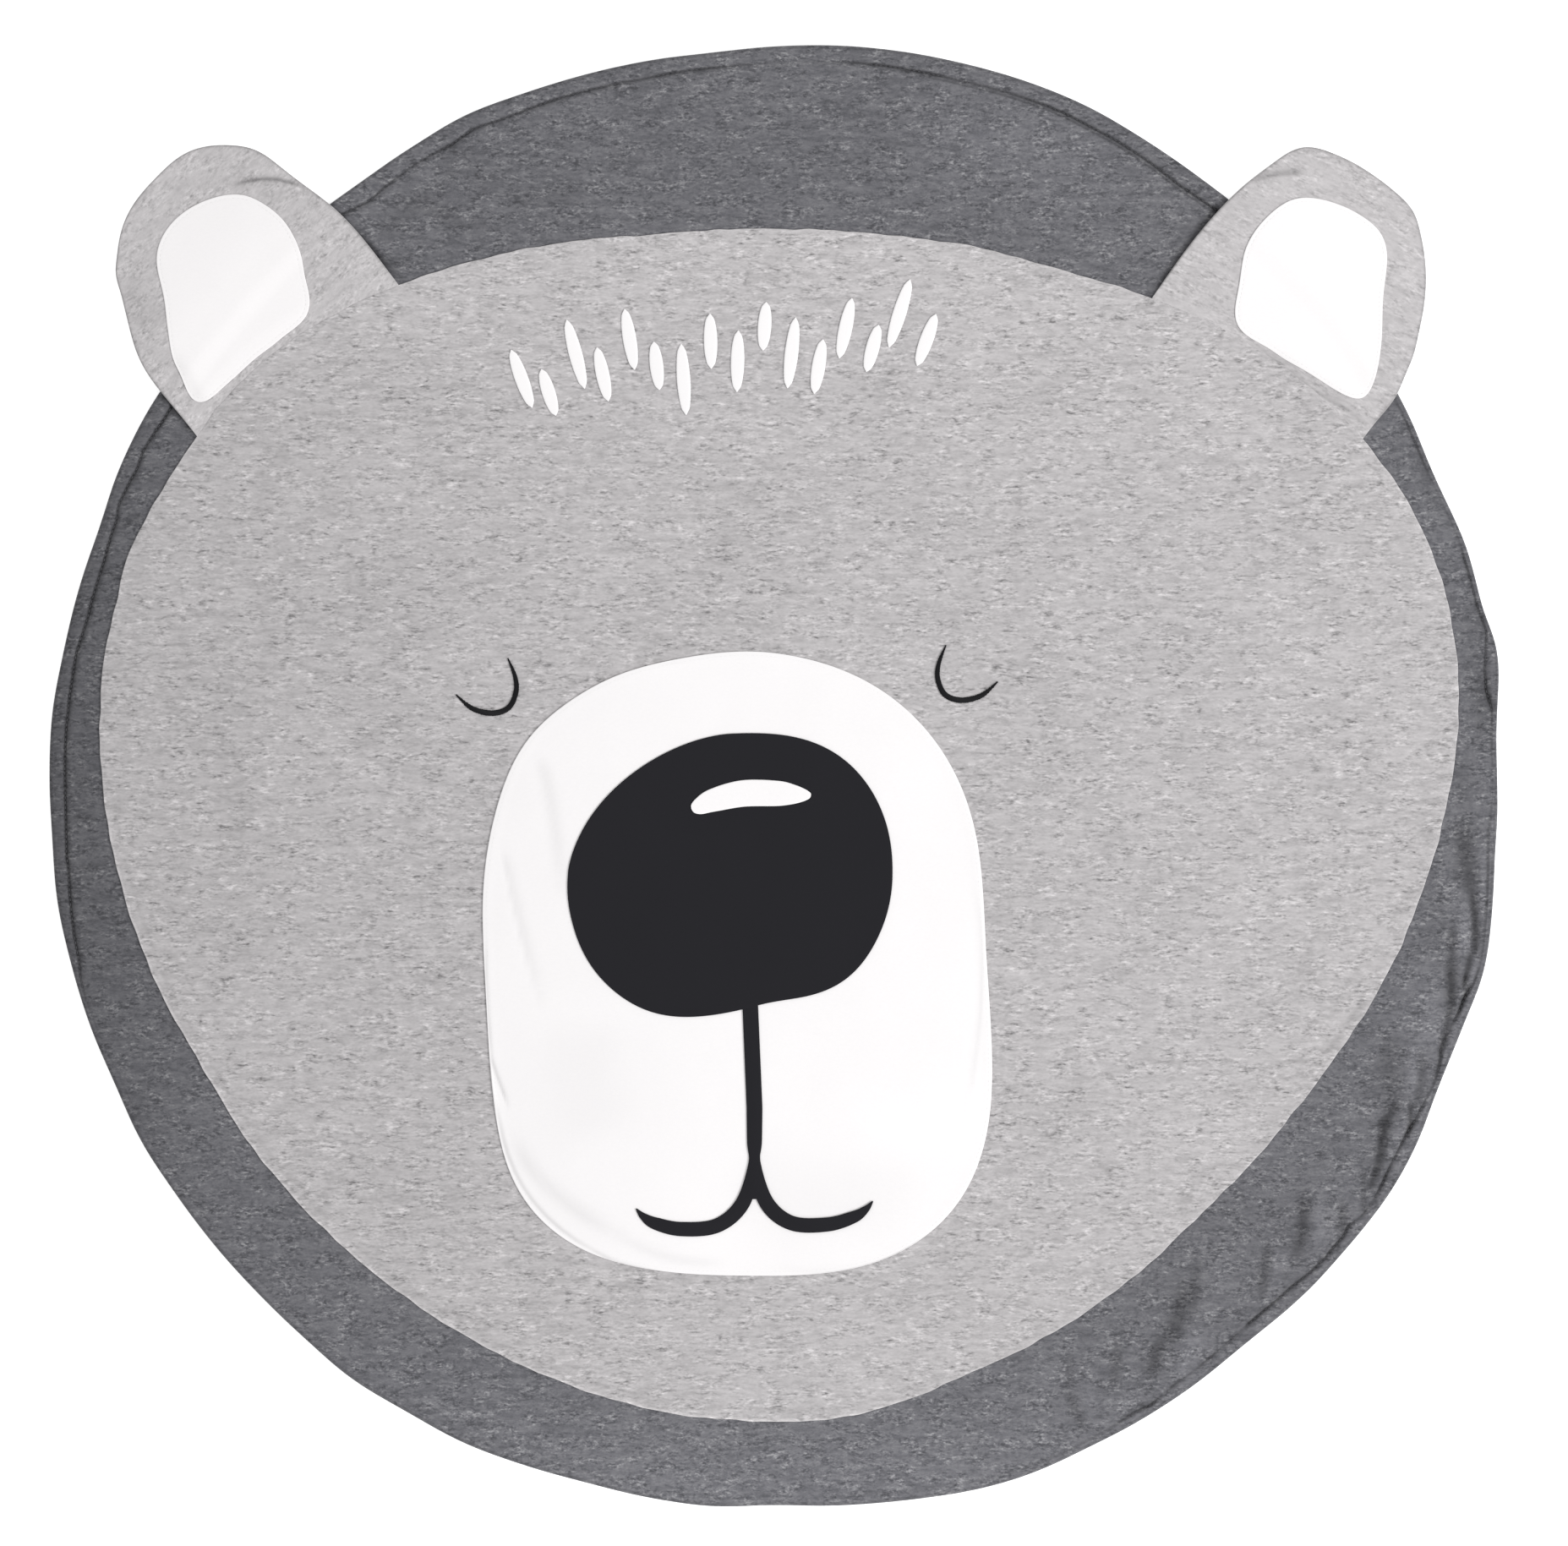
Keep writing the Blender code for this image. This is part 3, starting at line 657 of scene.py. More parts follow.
# %% Marl jersey
def wavy(tree, place, size=8.5, amount=1.7):
    """The place, moved a little to and fro, as knitted rows are never quite straight."""
    noise = add(tree, "ShaderNodeTexNoise", {"Vector": place, "Scale": 1 / (size * MM), "Detail": 1.0})
    inputs = {0: noise.outputs["Color"], 1: (0.5, 0.5, 0.5)}
    centred = add(tree, "ShaderNodeVectorMath", inputs, operation="SUBTRACT").outputs[0]
    inputs = {0: centred, 1: (amount * MM,) * 3, 2: place}
    return add(tree, "ShaderNodeVectorMath", inputs, operation="MULTIPLY_ADD").outputs[0]


def marl_jersey(name, colours, turn, shift, contrast, size, tall, light, dark, light_and_tone_slopes):
    """colours: from the darkest fleck to the palest. turn: of the cut, in degrees. shift: another part of
    the cloth. size and tall: how long and high its flecks are. light and dark: how strong its dashes are."""
    finish, tree, shader = cloth_finish(name)
    place = cloth_place(tree, turn)
    rows = wavy(tree, place)

    def noise(where, long, high, detail, more_shift=0):
        return stretched_noise(tree, where, long, high, detail, shift + more_shift)

    crowd = noise(place, 10, 8, 1.0, 9.1)

    def dashes(long, more_shift, crowding, low, high):
        """Single dashes, more of them where there is a crowd."""
        single = (noise(rows, long * size, 1.1 * tall, 0.5, more_shift), 1.0)
        return ranged(tree, sums(tree, single, (crowd, crowding), -crowding / 2), low, high)

    ground = noise(rows, 4.4 * size, 1.25 * tall, 2.0)
    fine = noise(place, 1.5 * size, 0.75 * tall, 1.0, 7.3)
    clusters = noise(place, 20, 5, 1.0, 2.1)
    patches = noise(place, 70, 55, 1.0, 4.9)
    flecks = sums(
        tree, (ground, 1.35 * contrast), (fine, 0.7 * contrast),
        (dashes(3.2, 11.7, 0.22, 0.585, 0.67), -dark * contrast),
        (dashes(3.0, 31.7, 0.15, 0.60, 0.69), light * contrast), -1.025 * contrast,
    )
    busy = ranged(tree, noise(place, 13, 8, 1.0, 17.7), 0.38, 0.62, 0.42, 1.38)
    shown = worked(tree, "MULTIPLY", flecks, busy)
    even = 0.5 - 0.275 * contrast - 0.09
    value = sums(tree, (shown, 1.0), (clusters, 0.55 * contrast), (patches, 0.18), even)
    relief = sums(tree, (knit_height(tree, place), 0.35), (ground, 0.65))
    put_on(tree, shader, toned_with_painted_light(tree, ramp(tree, value, *colours), light_and_tone_slopes), relief, 0.35, 0.35)
    print(name, "ready,", len(tree.nodes), "nodes")
    return finish


# %% [markdown]
# ## The four cuts of marl
# The mat is dark marl, with painted shade deeper at its left edge and painted light paler at its foot. The
# head is light marl, with painted light paler at its top and painted shade deeper at its left. The ears come
# from paler parts of the same cloth, and each was cut at its own angle, so its flecks run another way.

# %% Cutting the marl
LIGHT_GREYS = ((0.0, 0.19), (0.3, 0.36), (0.5, 0.455), (0.72, 0.54), (1.0, 0.68))
LIGHT_COLOURS = [(place, (grey, grey * 0.966, grey * 0.978)) for place, grey in LIGHT_GREYS]
DARK_COLOURS = [
    (0.0, (0.070, 0.070, 0.077)), (0.32, (0.108, 0.108, 0.119)), (0.5, (0.140, 0.139, 0.152)),
    (0.72, (0.182, 0.181, 0.193)), (1.0, (0.285, 0.283, 0.295)),
]

dark_jersey = marl_jersey(
    "dark_marl", DARK_COLOURS, turn=0, shift=0.0, contrast=1.02, size=0.95, tall=1.4, light=0.17, dark=0.24,
    # painted shade deeper at the left edge, painted light paler at the foot
    light_and_tone_slopes=[("X", -0.46, -0.327, -0.36), ("Y", -0.44, -0.34, 0.19)],
)
light_jersey = marl_jersey(
    "light_marl", LIGHT_COLOURS, turn=0, shift=3.0, contrast=0.82, size=1.4, tall=1.45, light=0.20, dark=0.16,
    # painted shade deeper at the left, painted light paler at the top
    light_and_tone_slopes=[("X", -0.42, -0.10, -0.08), ("Y", 0.33, 0.12, 0.07)],
)
# a slope from 9 m to the left to 9 m to the right is nearly even, at half its amount
left_ear_jersey = marl_jersey(
    "light_marl_left_ear", LIGHT_COLOURS, turn=40, shift=13.0, contrast=0.54, size=1.0, tall=1.6, light=0.20,
    dark=0.18, light_and_tone_slopes=[("X", -9, 9, 0.23)],
)
right_ear_jersey = marl_jersey(
    "light_marl_right_ear", LIGHT_COLOURS, turn=-22, shift=23.0, contrast=0.56, size=1.3, tall=1.7,
    light=0.20, dark=0.16, light_and_tone_slopes=[("X", -9, 9, 0.24)],
)

# %% [markdown]
# ## Plain jersey
# The muzzle, the inner ears and the nose are one colour, with the faintest patches and grain that any knitted
# cotton has. One flat colour would look like paint, so a little noise takes a few per cent of it away. White
# cloth is never fully white in Blender either: it has to leave room for its own shading.

# %% Plain jersey
def plain_jersey(name, colour, faint=0.04, light_and_tone_slopes=()):
    """faint: how much the patches and the grain take away."""
    finish, tree, shader = cloth_finish(name, 0.92, 0.15)
    place = cloth_place(tree)
    patches = stretched_noise(tree, place, 40, 55, 2.0, 1.4)
    grain = stretched_noise(tree, place, 1.8, 1.2, 1.0, 5.5)
    amount = sums(tree, (patches, faint), (grain, faint), 1.0 - faint)
    grey = add(tree, "ShaderNodeCombineColor", {"Red": amount, "Green": amount, "Blue": amount}).outputs[0]
    relief = sums(tree, (knit_height(tree, place), 0.6), (grain, 0.4))
    put_on(tree, shader, toned_with_painted_light(tree, tinted(tree, grey, (*colour, 1)), light_and_tone_slopes), relief, 0.12, 0.25)
    print(name, "ready,", len(tree.nodes), "nodes")
    return finish


white_jersey = plain_jersey("white_cotton", (0.885, 0.866, 0.870))
muzzle_jersey = plain_jersey(
    # painted shade: the muzzle is a little deeper in tone at its left
    "white_muzzle_cotton", (0.876, 0.858, 0.863), light_and_tone_slopes=[("X", -0.19, -0.04, -0.035)]
)
black_jersey = plain_jersey("black_cotton", (0.0138, 0.0135, 0.0166), faint=0.10)

# %% [markdown]
# ## Thread
# The eyes and the tuft are satin stitch: threads laid side by side across the stroke, with a soft sheen and
# painted shade between them. Their pattern follows a UV map that runs along the stroke, so it turns with it.
# Sewing thread shows only as single small stitches, for which a twist of noise is enough, with painted shade
# in its twist.

# %% Thread
THREAD_PITCH = 0.45


def satin_thread(name, colour, between, relief, shine):
    """Close stitches across a stroke. between: the share of the colour that painted shade leaves between them.
    """
    finish, tree, shader = cloth_finish(name, 0.5, 0.05, shine)
    run = parts_of(tree, add(tree, "ShaderNodeTexCoord").outputs["UV"])
    lean = worked(tree, "MULTIPLY_ADD", run["Y"], 0.35, run["X"])
    thread = worked(tree, "SINE", worked(tree, "MULTIPLY", lean, math.tau / (THREAD_PITCH * MM)))
    painted_shade_colour = tuple(between * part for part in colour)
    level = sums(tree, (thread, 0.35), 0.6)
    put_on(tree, shader, ramp(tree, level, (0.0, painted_shade_colour), (0.7, colour)), thread, relief, 0.15)
    print(name, "ready")
    return finish


def sewing_thread(name, colour):
    finish, tree, shader = cloth_finish(name, 0.6, 0.1)
    twist = stretched_noise(tree, cloth_place(tree, 35), 0.25, 1.2, 0.0, 3.3)
    # painted shade in the twist, where its bump is low
    painted_shade_colour = tuple(0.75 * part for part in colour)
    put_on(tree, shader, ramp(tree, twist, (0.35, painted_shade_colour), (0.6, colour)), twist, 0.4, 0.1)
    print(name, "ready")
    return finish


black_satin = satin_thread("black_satin", (0.006, 0.0058, 0.0072), between=0.8, relief=0.5, shine=0.12)
white_satin = satin_thread("white_satin", (0.925, 0.908, 0.912), between=0.93, relief=0.22, shine=0.2)
dark_thread = sewing_thread("dark_thread", (0.10, 0.10, 0.11))
light_thread = sewing_thread("light_thread", (0.44, 0.435, 0.44))
white_thread = sewing_thread("white_thread", (0.88, 0.875, 0.876))

# %% [markdown]
# ## Dressing a solid
# Every piece gets its finish, rides on the rug's one body, and, where it stands for a plain solid, hides it.
# Cloth is also noted on a cut list with its flat size, and stitches with the cloth that they are sewn on.

# %% Keeping count of pieces
cut_pieces, sewn_on = [], {}


def dress(piece, finish, node=None):
    """Gives a piece its finish, and puts it in the place of the node that it stands for."""
    piece.data.materials.append(finish)
    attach(piece, "root")
    if node:
        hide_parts(node)


def cut_from(piece, flat, area, *rests_on):
    """Notes the flat size that a piece was cut to, in metres."""
    cut_pieces.append((piece, flat, area, rests_on))
    print(piece.name, "cut from", flat, "m, area", round(area, 4), "m2")


def sew_on(piece, base):
    """Notes that stitches belong to the cloth that they are sewn on."""
    sewn_on.setdefault(base, []).append(piece)


print("ready to dress", len(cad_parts), "solids")

# %% [markdown]
# ## The topstitched groove
# Two rounds of dark jersey are sewn face to face, turned out, and topstitched about 10 mm inside the rim. The
# stitches pull the cloth down in a fine groove, and the hem outside it stands up soft and round. Sewing never
# keeps its distance: the groove wanders, is pressed flat in one place and deep in another, and at the right
# and lower left the hem has rolled under, so that the groove comes close to the rim or leaves the face. So
# its way is a table of places round the rim and not one distance.

# %% The groove's way
# angle in degrees, mm inside the rim, how deep it shows from 0 to 1
SEAM = [
    (0, 3.2, 0.05), (5.2, 3.5, 0.25), (6.9, 8, 0.55), (8.5, 9, 0.3), (10, 7, 0.2), (11.5, 3.2, 0.35),
    (15.5, 3.2, 0.35), (17.5, 3.6, 0.4), (18.5, 3.2, 0.15), (24, 3.2, 0.05), (26, 3.2, 0.3), (28.3, 3.6, 0.3),
    (30.5, 3.5, 0.15), (40, 8, 0.1), (52.4, 10.2, 0.5), (55.5, 11.5, 0.5), (58.8, 10.2, 0.45),
    (61.6, 10, 0.45), (64, 10.6, 0.5), (67.6, 10, 0.5), (70, 10.4, 0.35), (71.5, 10.6, 0.3), (75, 11, 0.3),
    (76.4, 11, 0.25), (76.6, 10.8, 0.5), (78.5, 10.6, 0.5), (82, 10.2, 0.45), (84.5, 10.3, 0.15),
    (88, 10.4, 0.06), (91.5, 10.3, 0.1), (93, 9.8, 0.2), (95.5, 9.5, 0.45), (97, 9.6, 0.3), (98.5, 10, 0.5),
    (100.5, 10.8, 0.3), (102.5, 10.4, 0.3), (104, 10.3, 0.4), (107, 9.8, 0.4), (110.3, 10.3, 0.45),
    (112.8, 11, 0.35), (114.9, 9.9, 0.45), (117, 12, 0.5), (119, 10.6, 0.3), (121, 10.5, 0.2),
    (123.4, 11.3, 0.35), (125.2, 12.8, 0.4), (127.6, 9.8, 0.4), (138, 10, 0.2), (149.7, 11.3, 0.6),
    (151.3, 10, 0.5), (152.9, 9, 0.45), (154.2, 10.3, 0.5), (155.7, 8.9, 0.55), (157.8, 7.2, 0.4),
    (158.7, 9, 0.5), (159.9, 8.5, 0.55), (161.2, 9.1, 0.55), (162.3, 9.8, 0.6), (163.7, 9.9, 0.5),
    (165.6, 9.9, 0.6), (167, 10.1, 0.5), (168.4, 9.3, 0.5), (170, 8.1, 0.55), (172.1, 8.9, 0.6),
    (174.8, 9.6, 0.5), (176.7, 9.5, 0.6), (180.7, 9.7, 0.55), (182.6, 9.5, 0.55), (184.6, 8.9, 0.6),
    (186.5, 8.4, 0.6), (187.8, 9.1, 0.5), (190.4, 8, 0.55), (192.7, 6.5, 0.5), (195, 5.3, 0.45),
    (196.3, 3.3, 0.4), (197.6, 3, 0.2), (199, 3, 0.05), (215, 6, 0.04), (285, 6, 0.04), (294, 4, 0.12),
    (297, 5, 0.1), (299.5, 6.4, 0.4), (301, 5, 0.45), (302.2, 6.5, 0.1), (303.2, 7.5, 0.3), (305, 7.5, 0.1),
    (306.9, 7.6, 0.3), (308, 7.8, 0.15), (309.1, 8, 0.25), (310.4, 8.5, 0.1), (310.9, 8.7, 0.55),
    (312.6, 9, 0.55), (313.8, 9, 0.4), (315.5, 9, 0.5), (316.5, 8, 0.45), (317.6, 7, 0.45), (318.8, 6.4, 0.4),
    (319.9, 7, 0.5), (321, 6.7, 0.45), (321.9, 8.7, 0.5), (322.6, 7, 0.15), (323.4, 5.7, 0.25),
    (324.5, 6, 0.1), (325.8, 6.8, 0.5), (326.9, 8, 0.55), (328, 8.9, 0.3), (329.2, 8.9, 0.45),
    (330.4, 8.7, 0.55), (332, 6.5, 0.4), (333.5, 5, 0.2), (335, 3.8, 0.15), (336.6, 5, 0.3), (337.8, 8, 0.35),
    (339.4, 7.5, 0.1), (341, 6, 0.5), (342.3, 6, 0.5), (343.4, 4.3, 0.35), (345, 3.5, 0.1), (348, 4, 0.15),
    (352.3, 4.4, 0.2), (355.5, 5.5, 0.15), (358, 4, 0.05),
]
FOLDED_SIDE = np.linspace(math.radians(-68), math.radians(22), 600, endpoint=False)  # finer, for its ridges
QUIET_SIDE = np.linspace(math.radians(22), math.radians(292), 520, endpoint=False)
TURN = np.concatenate([FOLDED_SIDE, QUIET_SIDE])
SEAM_ANGLE, SEAM_IN, SEAM_DEPTH = np.array(SEAM).T
SEAM_AT = np.interp(np.degrees(TURN), SEAM_ANGLE, SEAM_IN, period=360)
SEAM_SHOWS = np.interp(np.degrees(TURN), SEAM_ANGLE, SEAM_DEPTH, period=360)
SEAM_SINK = (0.25 + 1.2 * SEAM_SHOWS) * np.minimum(1, SEAM_AT / 7)
SEAM_SECOND_LINE = eased((np.degrees(TURN) - 50) / 5) * eased((82 - np.degrees(TURN)) / 8)  # a second faint dark line further in, over these angles
print("the groove sinks up to", round(float(SEAM_SINK.max()), 2), "mm")

# %% [markdown]
# ## The round mat
# The mat is rings from its middle to the head's edge, closer ones over the border with its creases, the
# closest through the groove, and a rounded hem. An even grid as fine as the groove would need millions of
# faces, and most would lie where nothing is to be seen. The relief is asked for at every point, and no crease
# goes on under the head.

# %% Rings of the mat
MAT_TOP, RIM_SOFT = 3.0, 2.6
# limits of the painted shade, and of the painted light below zero
PALEST, DARKEST = -0.25, 0.8
UNDER_HEAD_RINGS = (0.15, 0.4, 0.65, 0.85, 0.94, 0.985)  # shares of the way to the head's edge
GROOVE_RINGS = (-3.4, -2.5, -1.8, -1.3, -0.9, -0.6, -0.3, 0)  # mm from the groove
HEM_RINGS = (0.06, 0.13, 0.22, 0.34, 0.5, 0.68, 0.85, 1.0)  # shares of the way from the groove to the rim
BELOW_RINGS = (0.99, 0.93, 0.75, 0.5, 0.2)  # shares of the way to the rim
RIM_AT, HEAD_AT = rim_radius(TURN), head_radius(TURN)
ROUND = np.linspace(-math.pi, math.pi, 720, endpoint=False)
HEAD_ROUND = head_radius(ROUND)
HEM_SOFT = np.minimum(RIM_SOFT, 0.6 * SEAM_AT)


def mat_relief(x, y):
    """The rise of the mat's top over its plain height, and its painted shade and light."""
    crease, dark = shape_creases(x, y, RIM_CREASES)
    angle = np.arctan2(y, x)
    free = eased((np.hypot(x, y) - np.interp(angle, ROUND, HEAD_ROUND, period=math.tau) - 0.5) / 5)
    return lift(x, y) + swell(x, y) + crease * free, dark


def mat_border(lay):
    """Rings from the middle to the rounded hem. lay(radius, sink, line) lays one ring; line is painted shade.
    """
    for share in UNDER_HEAD_RINGS:
        lay(HEAD_AT * share)
    near_seam = RIM_AT - SEAM_AT - 4.5
    belt = np.maximum(HEAD_AT + 2, near_seam - 34)
    start = HEAD_AT * UNDER_HEAD_RINGS[-1]
    for share in np.linspace(0, 1, 10)[1:]:
        lay(start + (belt - start) * share)
    for share in np.linspace(0, 1, 30)[1:]:
        lay(belt + (near_seam - belt) * share)
    for off in GROOVE_RINGS:
        # painted shade of the groove: a dark line at its bottom, a soft halo inside it, and a second faint
        # dark line further in at the top right
        line = 0.9 * SEAM_SHOWS * bell(off, 0.6) + 0.22 * SEAM_SHOWS * bell(off + 1.0, 1.3)
        line += 0.20 * SEAM_SECOND_LINE * bell(off + 2.3, 0.4)
        lay(RIM_AT - SEAM_AT + off, SEAM_SINK * bell(off, 1.3), line)
    for share in HEM_RINGS:
        off = share * (SEAM_AT - HEM_SOFT)
        # painted shade: the groove's dark line goes on over the hem, which keeps a faint painted shade all
        # along
        line = 0.9 * SEAM_SHOWS * bell(off, 0.6) + 0.05 * SEAM_SHOWS
        puff = 0.45 * SEAM_SINK * bell(share - 0.55, 0.2)
        lay(RIM_AT - SEAM_AT + off, SEAM_SINK * bell(off, 0.9) - puff, line)


print("rim", round(float(RIM_AT.min())), "to", round(float(RIM_AT.max())), "mm from the middle")

# %% Sewing the mat
def make_mat():
    rings, shades = [], []

    def lay(radius, sink=0.0, line=0.0):
        x, y = ring_at(radius, TURN)
        rise, dark = mat_relief(x, y)
        rings.append(np.stack([x, y, MAT_TOP + rise - sink], axis=1))
        shades.append(np.clip(dark + line, PALEST, DARKEST))

    mat_border(lay)
    for turn in np.linspace(0, math.pi, 12)[1:]:
        x, y = ring_at(RIM_AT - HEM_SOFT * (1 - math.sin(turn)), TURN)
        rise, dark = mat_relief(x, y)
        top = max(0.0, math.cos(turn))
        high = MAT_TOP / 2 * (1 + math.cos(turn)) + lift(x, y) + (rise - lift(x, y)) * top
        rings.append(np.stack([x, y, high], axis=1))
        # painted shade: the rounded rim is a touch deeper in tone
        shades.append(np.clip(dark * top + 0.10, PALEST, DARKEST))
    for share in BELOW_RINGS:
        x, y = ring_at((RIM_AT - RIM_SOFT) * share, TURN)
        rings.append(np.stack([x, y, lift(x, y)], axis=1))
        shades.append(0 * x)
    piece = ringed("mat_cloth", rings, (0, 0, MAT_TOP), (0, 0, 0), shades)
    dress(piece, dark_jersey, "mat")
    cut_from(piece, (0.91, 0.91), area_of(*ring_at(RIM_AT, TURN)))


make_mat()

# %% [markdown]
# ## A way to lay panels
# The head, the muzzle and the nose are flat cuts with their edges turned under. Jersey is thin, so the step
# down to what is below is hardly a millimetre, and the edge rounds over it. One function lays all three:
# rings that come closer to the edge, a rounded edge, and a few rings back underneath.

# %% Laying a panel
Panel = namedtuple("Panel", "name outline middle turn under thick creases")
EDGE_RINGS = (14, 12.5, 11, 9.5, 8, 7, 6, 5.2, 4.4, 3.6, 2.8, 2, 1.4, 0.9)  # mm inside the edge


def lay_panel(panel, inner, edge, soft, catch=0.0):
    """inner: shares of the way out to the edge's rings. edge: its rise. catch: how strong its painted
    highlight is.
    """
    rings, shades = [], []

    def lay(radius, raised, with_crease=True):
        x, y = ring_at(radius, panel.turn, panel.middle)
        crease, dark = shape_creases(x, y, panel.creases) if with_crease else (0 * x, 0 * x)
        rings.append(np.stack([x, y, panel.under + raised + lift(x, y) + swell(x, y) + crease], axis=1))
        inward = panel.outline - radius
        shades.append(dark + catch * (0.3 * bell(inward - 6.5, 1.1) - bell(inward, 0.9)))

    for share in inner:
        lay((panel.outline - EDGE_RINGS[0]) * share, panel.thick)
    for inward in EDGE_RINGS:
        lay(panel.outline - inward, panel.thick + edge * bell(inward - 3, 2))
    lay(panel.outline - 0.75 * soft - 0.05, panel.thick + edge * bell(2, 2))
    for angle in np.linspace(0.12, 1.0, 8) * math.pi:
        rim = panel.thick * (0.5 + 0.5 * math.cos(angle)) + edge * bell(2, 2) * max(0, math.cos(angle))
        lay(panel.outline - soft * (1 - math.sin(angle)), rim, False)
    for share in (0.9, 0.5, 0.15):
        lay((panel.outline - 3) * share, 0, False)
    x, y = (np.array([float(at)]) for at in panel.middle)
    ground = panel.under + float((lift(x, y) + swell(x, y))[0])
    ends = [(*panel.middle, ground + panel.thick), (*panel.middle, ground)]
    return ringed(panel.name + "_cloth", rings, *ends, shades)


def sew_panel(piece, panel, finish, node, flat, rests_on):
    dress(piece, finish, node)
    cut_from(piece, flat, area_of(*ring_at(panel.outline, panel.turn)), rests_on)


print("a panel is described by", ", ".join(Panel._fields))

# %% [markdown]
# ## The head
# The head is one cut of light marl, laid on the mat with its edge turned under and sewn flat. At its lower
# left the folded edge stands up enough to catch the light. The real edge is a fuzzy fold that light gets
# into, so a smooth mesh alone doesn't gleam there: a painted highlight makes that edge a little paler, with a
# faint painted shade a few millimetres inside it. Where an ear is caught in the seam, the edge lies flat.

# %% The head
# from and to on the head's edge, turn; degrees
EARS = [("left", 149.5, 127.4, -2.5), ("right", 30.0, 51.8, 1.8)]
HEAD_UNDER, HEAD_THICK = 3.2, 0.8
EAR_SEAM_FADE = 1.5  # degrees
DEGREES = np.degrees(TURN) % 360


def near_ear(angle):
    """1 where an ear's root is sewn to the head's edge, 0 elsewhere. angle in degrees."""
    inside = np.zeros_like(angle)
    for _, one, other, _ in EARS:
        low, high = min(one, other), max(one, other)
        between = eased((angle - low) / EAR_SEAM_FADE) * eased((high - angle) / EAR_SEAM_FADE)
        inside = np.maximum(inside, between)
    return inside


AT_EAR = near_ear(DEGREES)
# painted highlight on the head's edge, strongest at its lower left
CATCH = 0.03 + 0.11 * eased((DEGREES - 178) / 14) * eased((292 - DEGREES) / 24)
head = Panel("head", HEAD_AT, (0, 0), TURN, HEAD_UNDER, HEAD_THICK, HEAD_CREASES)
head_cloth = lay_panel(head, np.linspace(0.03, 1, 34)[:-1], 0.1, 0.45 - 0.38 * AT_EAR, CATCH * (1 - AT_EAR))
sew_panel(head_cloth, head, light_jersey, "head_panel", (0.86, 0.76), "mat_cloth")

# %% [markdown]
# ## Where an ear lies
# An ear is a rounded tab of two layers, sewn round and turned, caught by its root in the head's edge. It lies
# on the mat, passes over the rim with a little room, and comes down to the floor outside. Its height is
# worked out from how far a point is beyond the rim, so both ears fall in the same soft way.

# %% Heights of an ear
EAR_THICK, PATCH_GAP, PATCH_THICK = 1.5, 0.12, 0.45
EAR_DRAPE = [(-20, 3.3), (-6, 4.2), (6, 4.1), (80, 0.0)]  # mm beyond the rim, height of the underside


def ear_underside(x, y):
    beyond = np.hypot(x, y) - rim_radius(np.arctan2(y, x))
    height = np.full_like(x, EAR_DRAPE[0][1])
    for (a, high_a), (b, high_b) in zip(EAR_DRAPE, EAR_DRAPE[1:]):
        height = np.where(beyond > a, high_a + (high_b - high_a) * eased((beyond - a) / (b - a)), height)
    return height


def from_root(x, y):
    """0 at the root, where the ear is sewn to the head's edge, 1 from 16 mm outside it."""
    return eased((np.hypot(x, y) - head_radius(np.arctan2(y, x))) / 16)


def ear_level(x, y, share):
    """A height in the ear's thickness: share 0 is its underside, 1 its top."""
    free = from_root(x, y)
    at_head = HEAD_UNDER - 0.05 + HEAD_THICK * share + swell(x, y)
    return at_head + (ear_underside(x, y) + EAR_THICK * share - at_head) * free


print("an ear nears the rim", round(EAR_DRAPE[1][1] - MAT_TOP, 1), "mm above the mat's top")

# %% [markdown]
# ## The ears' outlines
# An ear has its own directions: across its root and out from the head. In these it is half a rounded square
# with a slight lean. The white patch on it is a smooth line through eight places, the same for both ears.
# Each ear and each patch then has its own bulges, because no two are turned alike.

# %% An ear's own directions
EAR_HALF_WIDTH, EAR_HEIGHT, EAR_POWER, EAR_LEAN = 80, 141, 2.6, 5
EAR_MIDDLE = (-10, 62)  # across and out, as for the patch
INNER_EAR = [(-65, 19), (-53, 62), (-31, 104), (5, 114), (38, 97), (44, 54), (24, 17), (-20, 15)]
EAR_BULGES = {
    "left": [
        (55, 14, -3.6), (194, 45, -3.3), (300, 44, -4.8), (106, 11, 2.8), (226, 17, 4.1), (172, 6, 1.5),
        (76, 7, 1.6),
    ],
    "right": [
        (131, 43, -3.9), (26, 28, -3.6), (310, 11, 8), (99, 8, 4.2), (42, 7, 1.7), (222, 38, -3.2),
        (312, 8, -5.1),
    ],
}
INNER_BULGES = {
    "left": [
        (182, 28, -5), (7, 10, -2.4), (269, 17, 2), (248, 6, -4.1), (48, 11, 1.6), (326, 9, -1.3),
        (102, 17, -0.9), (262, 5, 2.2),
    ],
    "right": [
        (8, 38, -4.7), (194, 36, 7), (85, 15, -1.2), (179, 18, -8), (221, 12, -3.8), (312, 17, 1.8),
        (45, 12, 2.3),
    ],
}


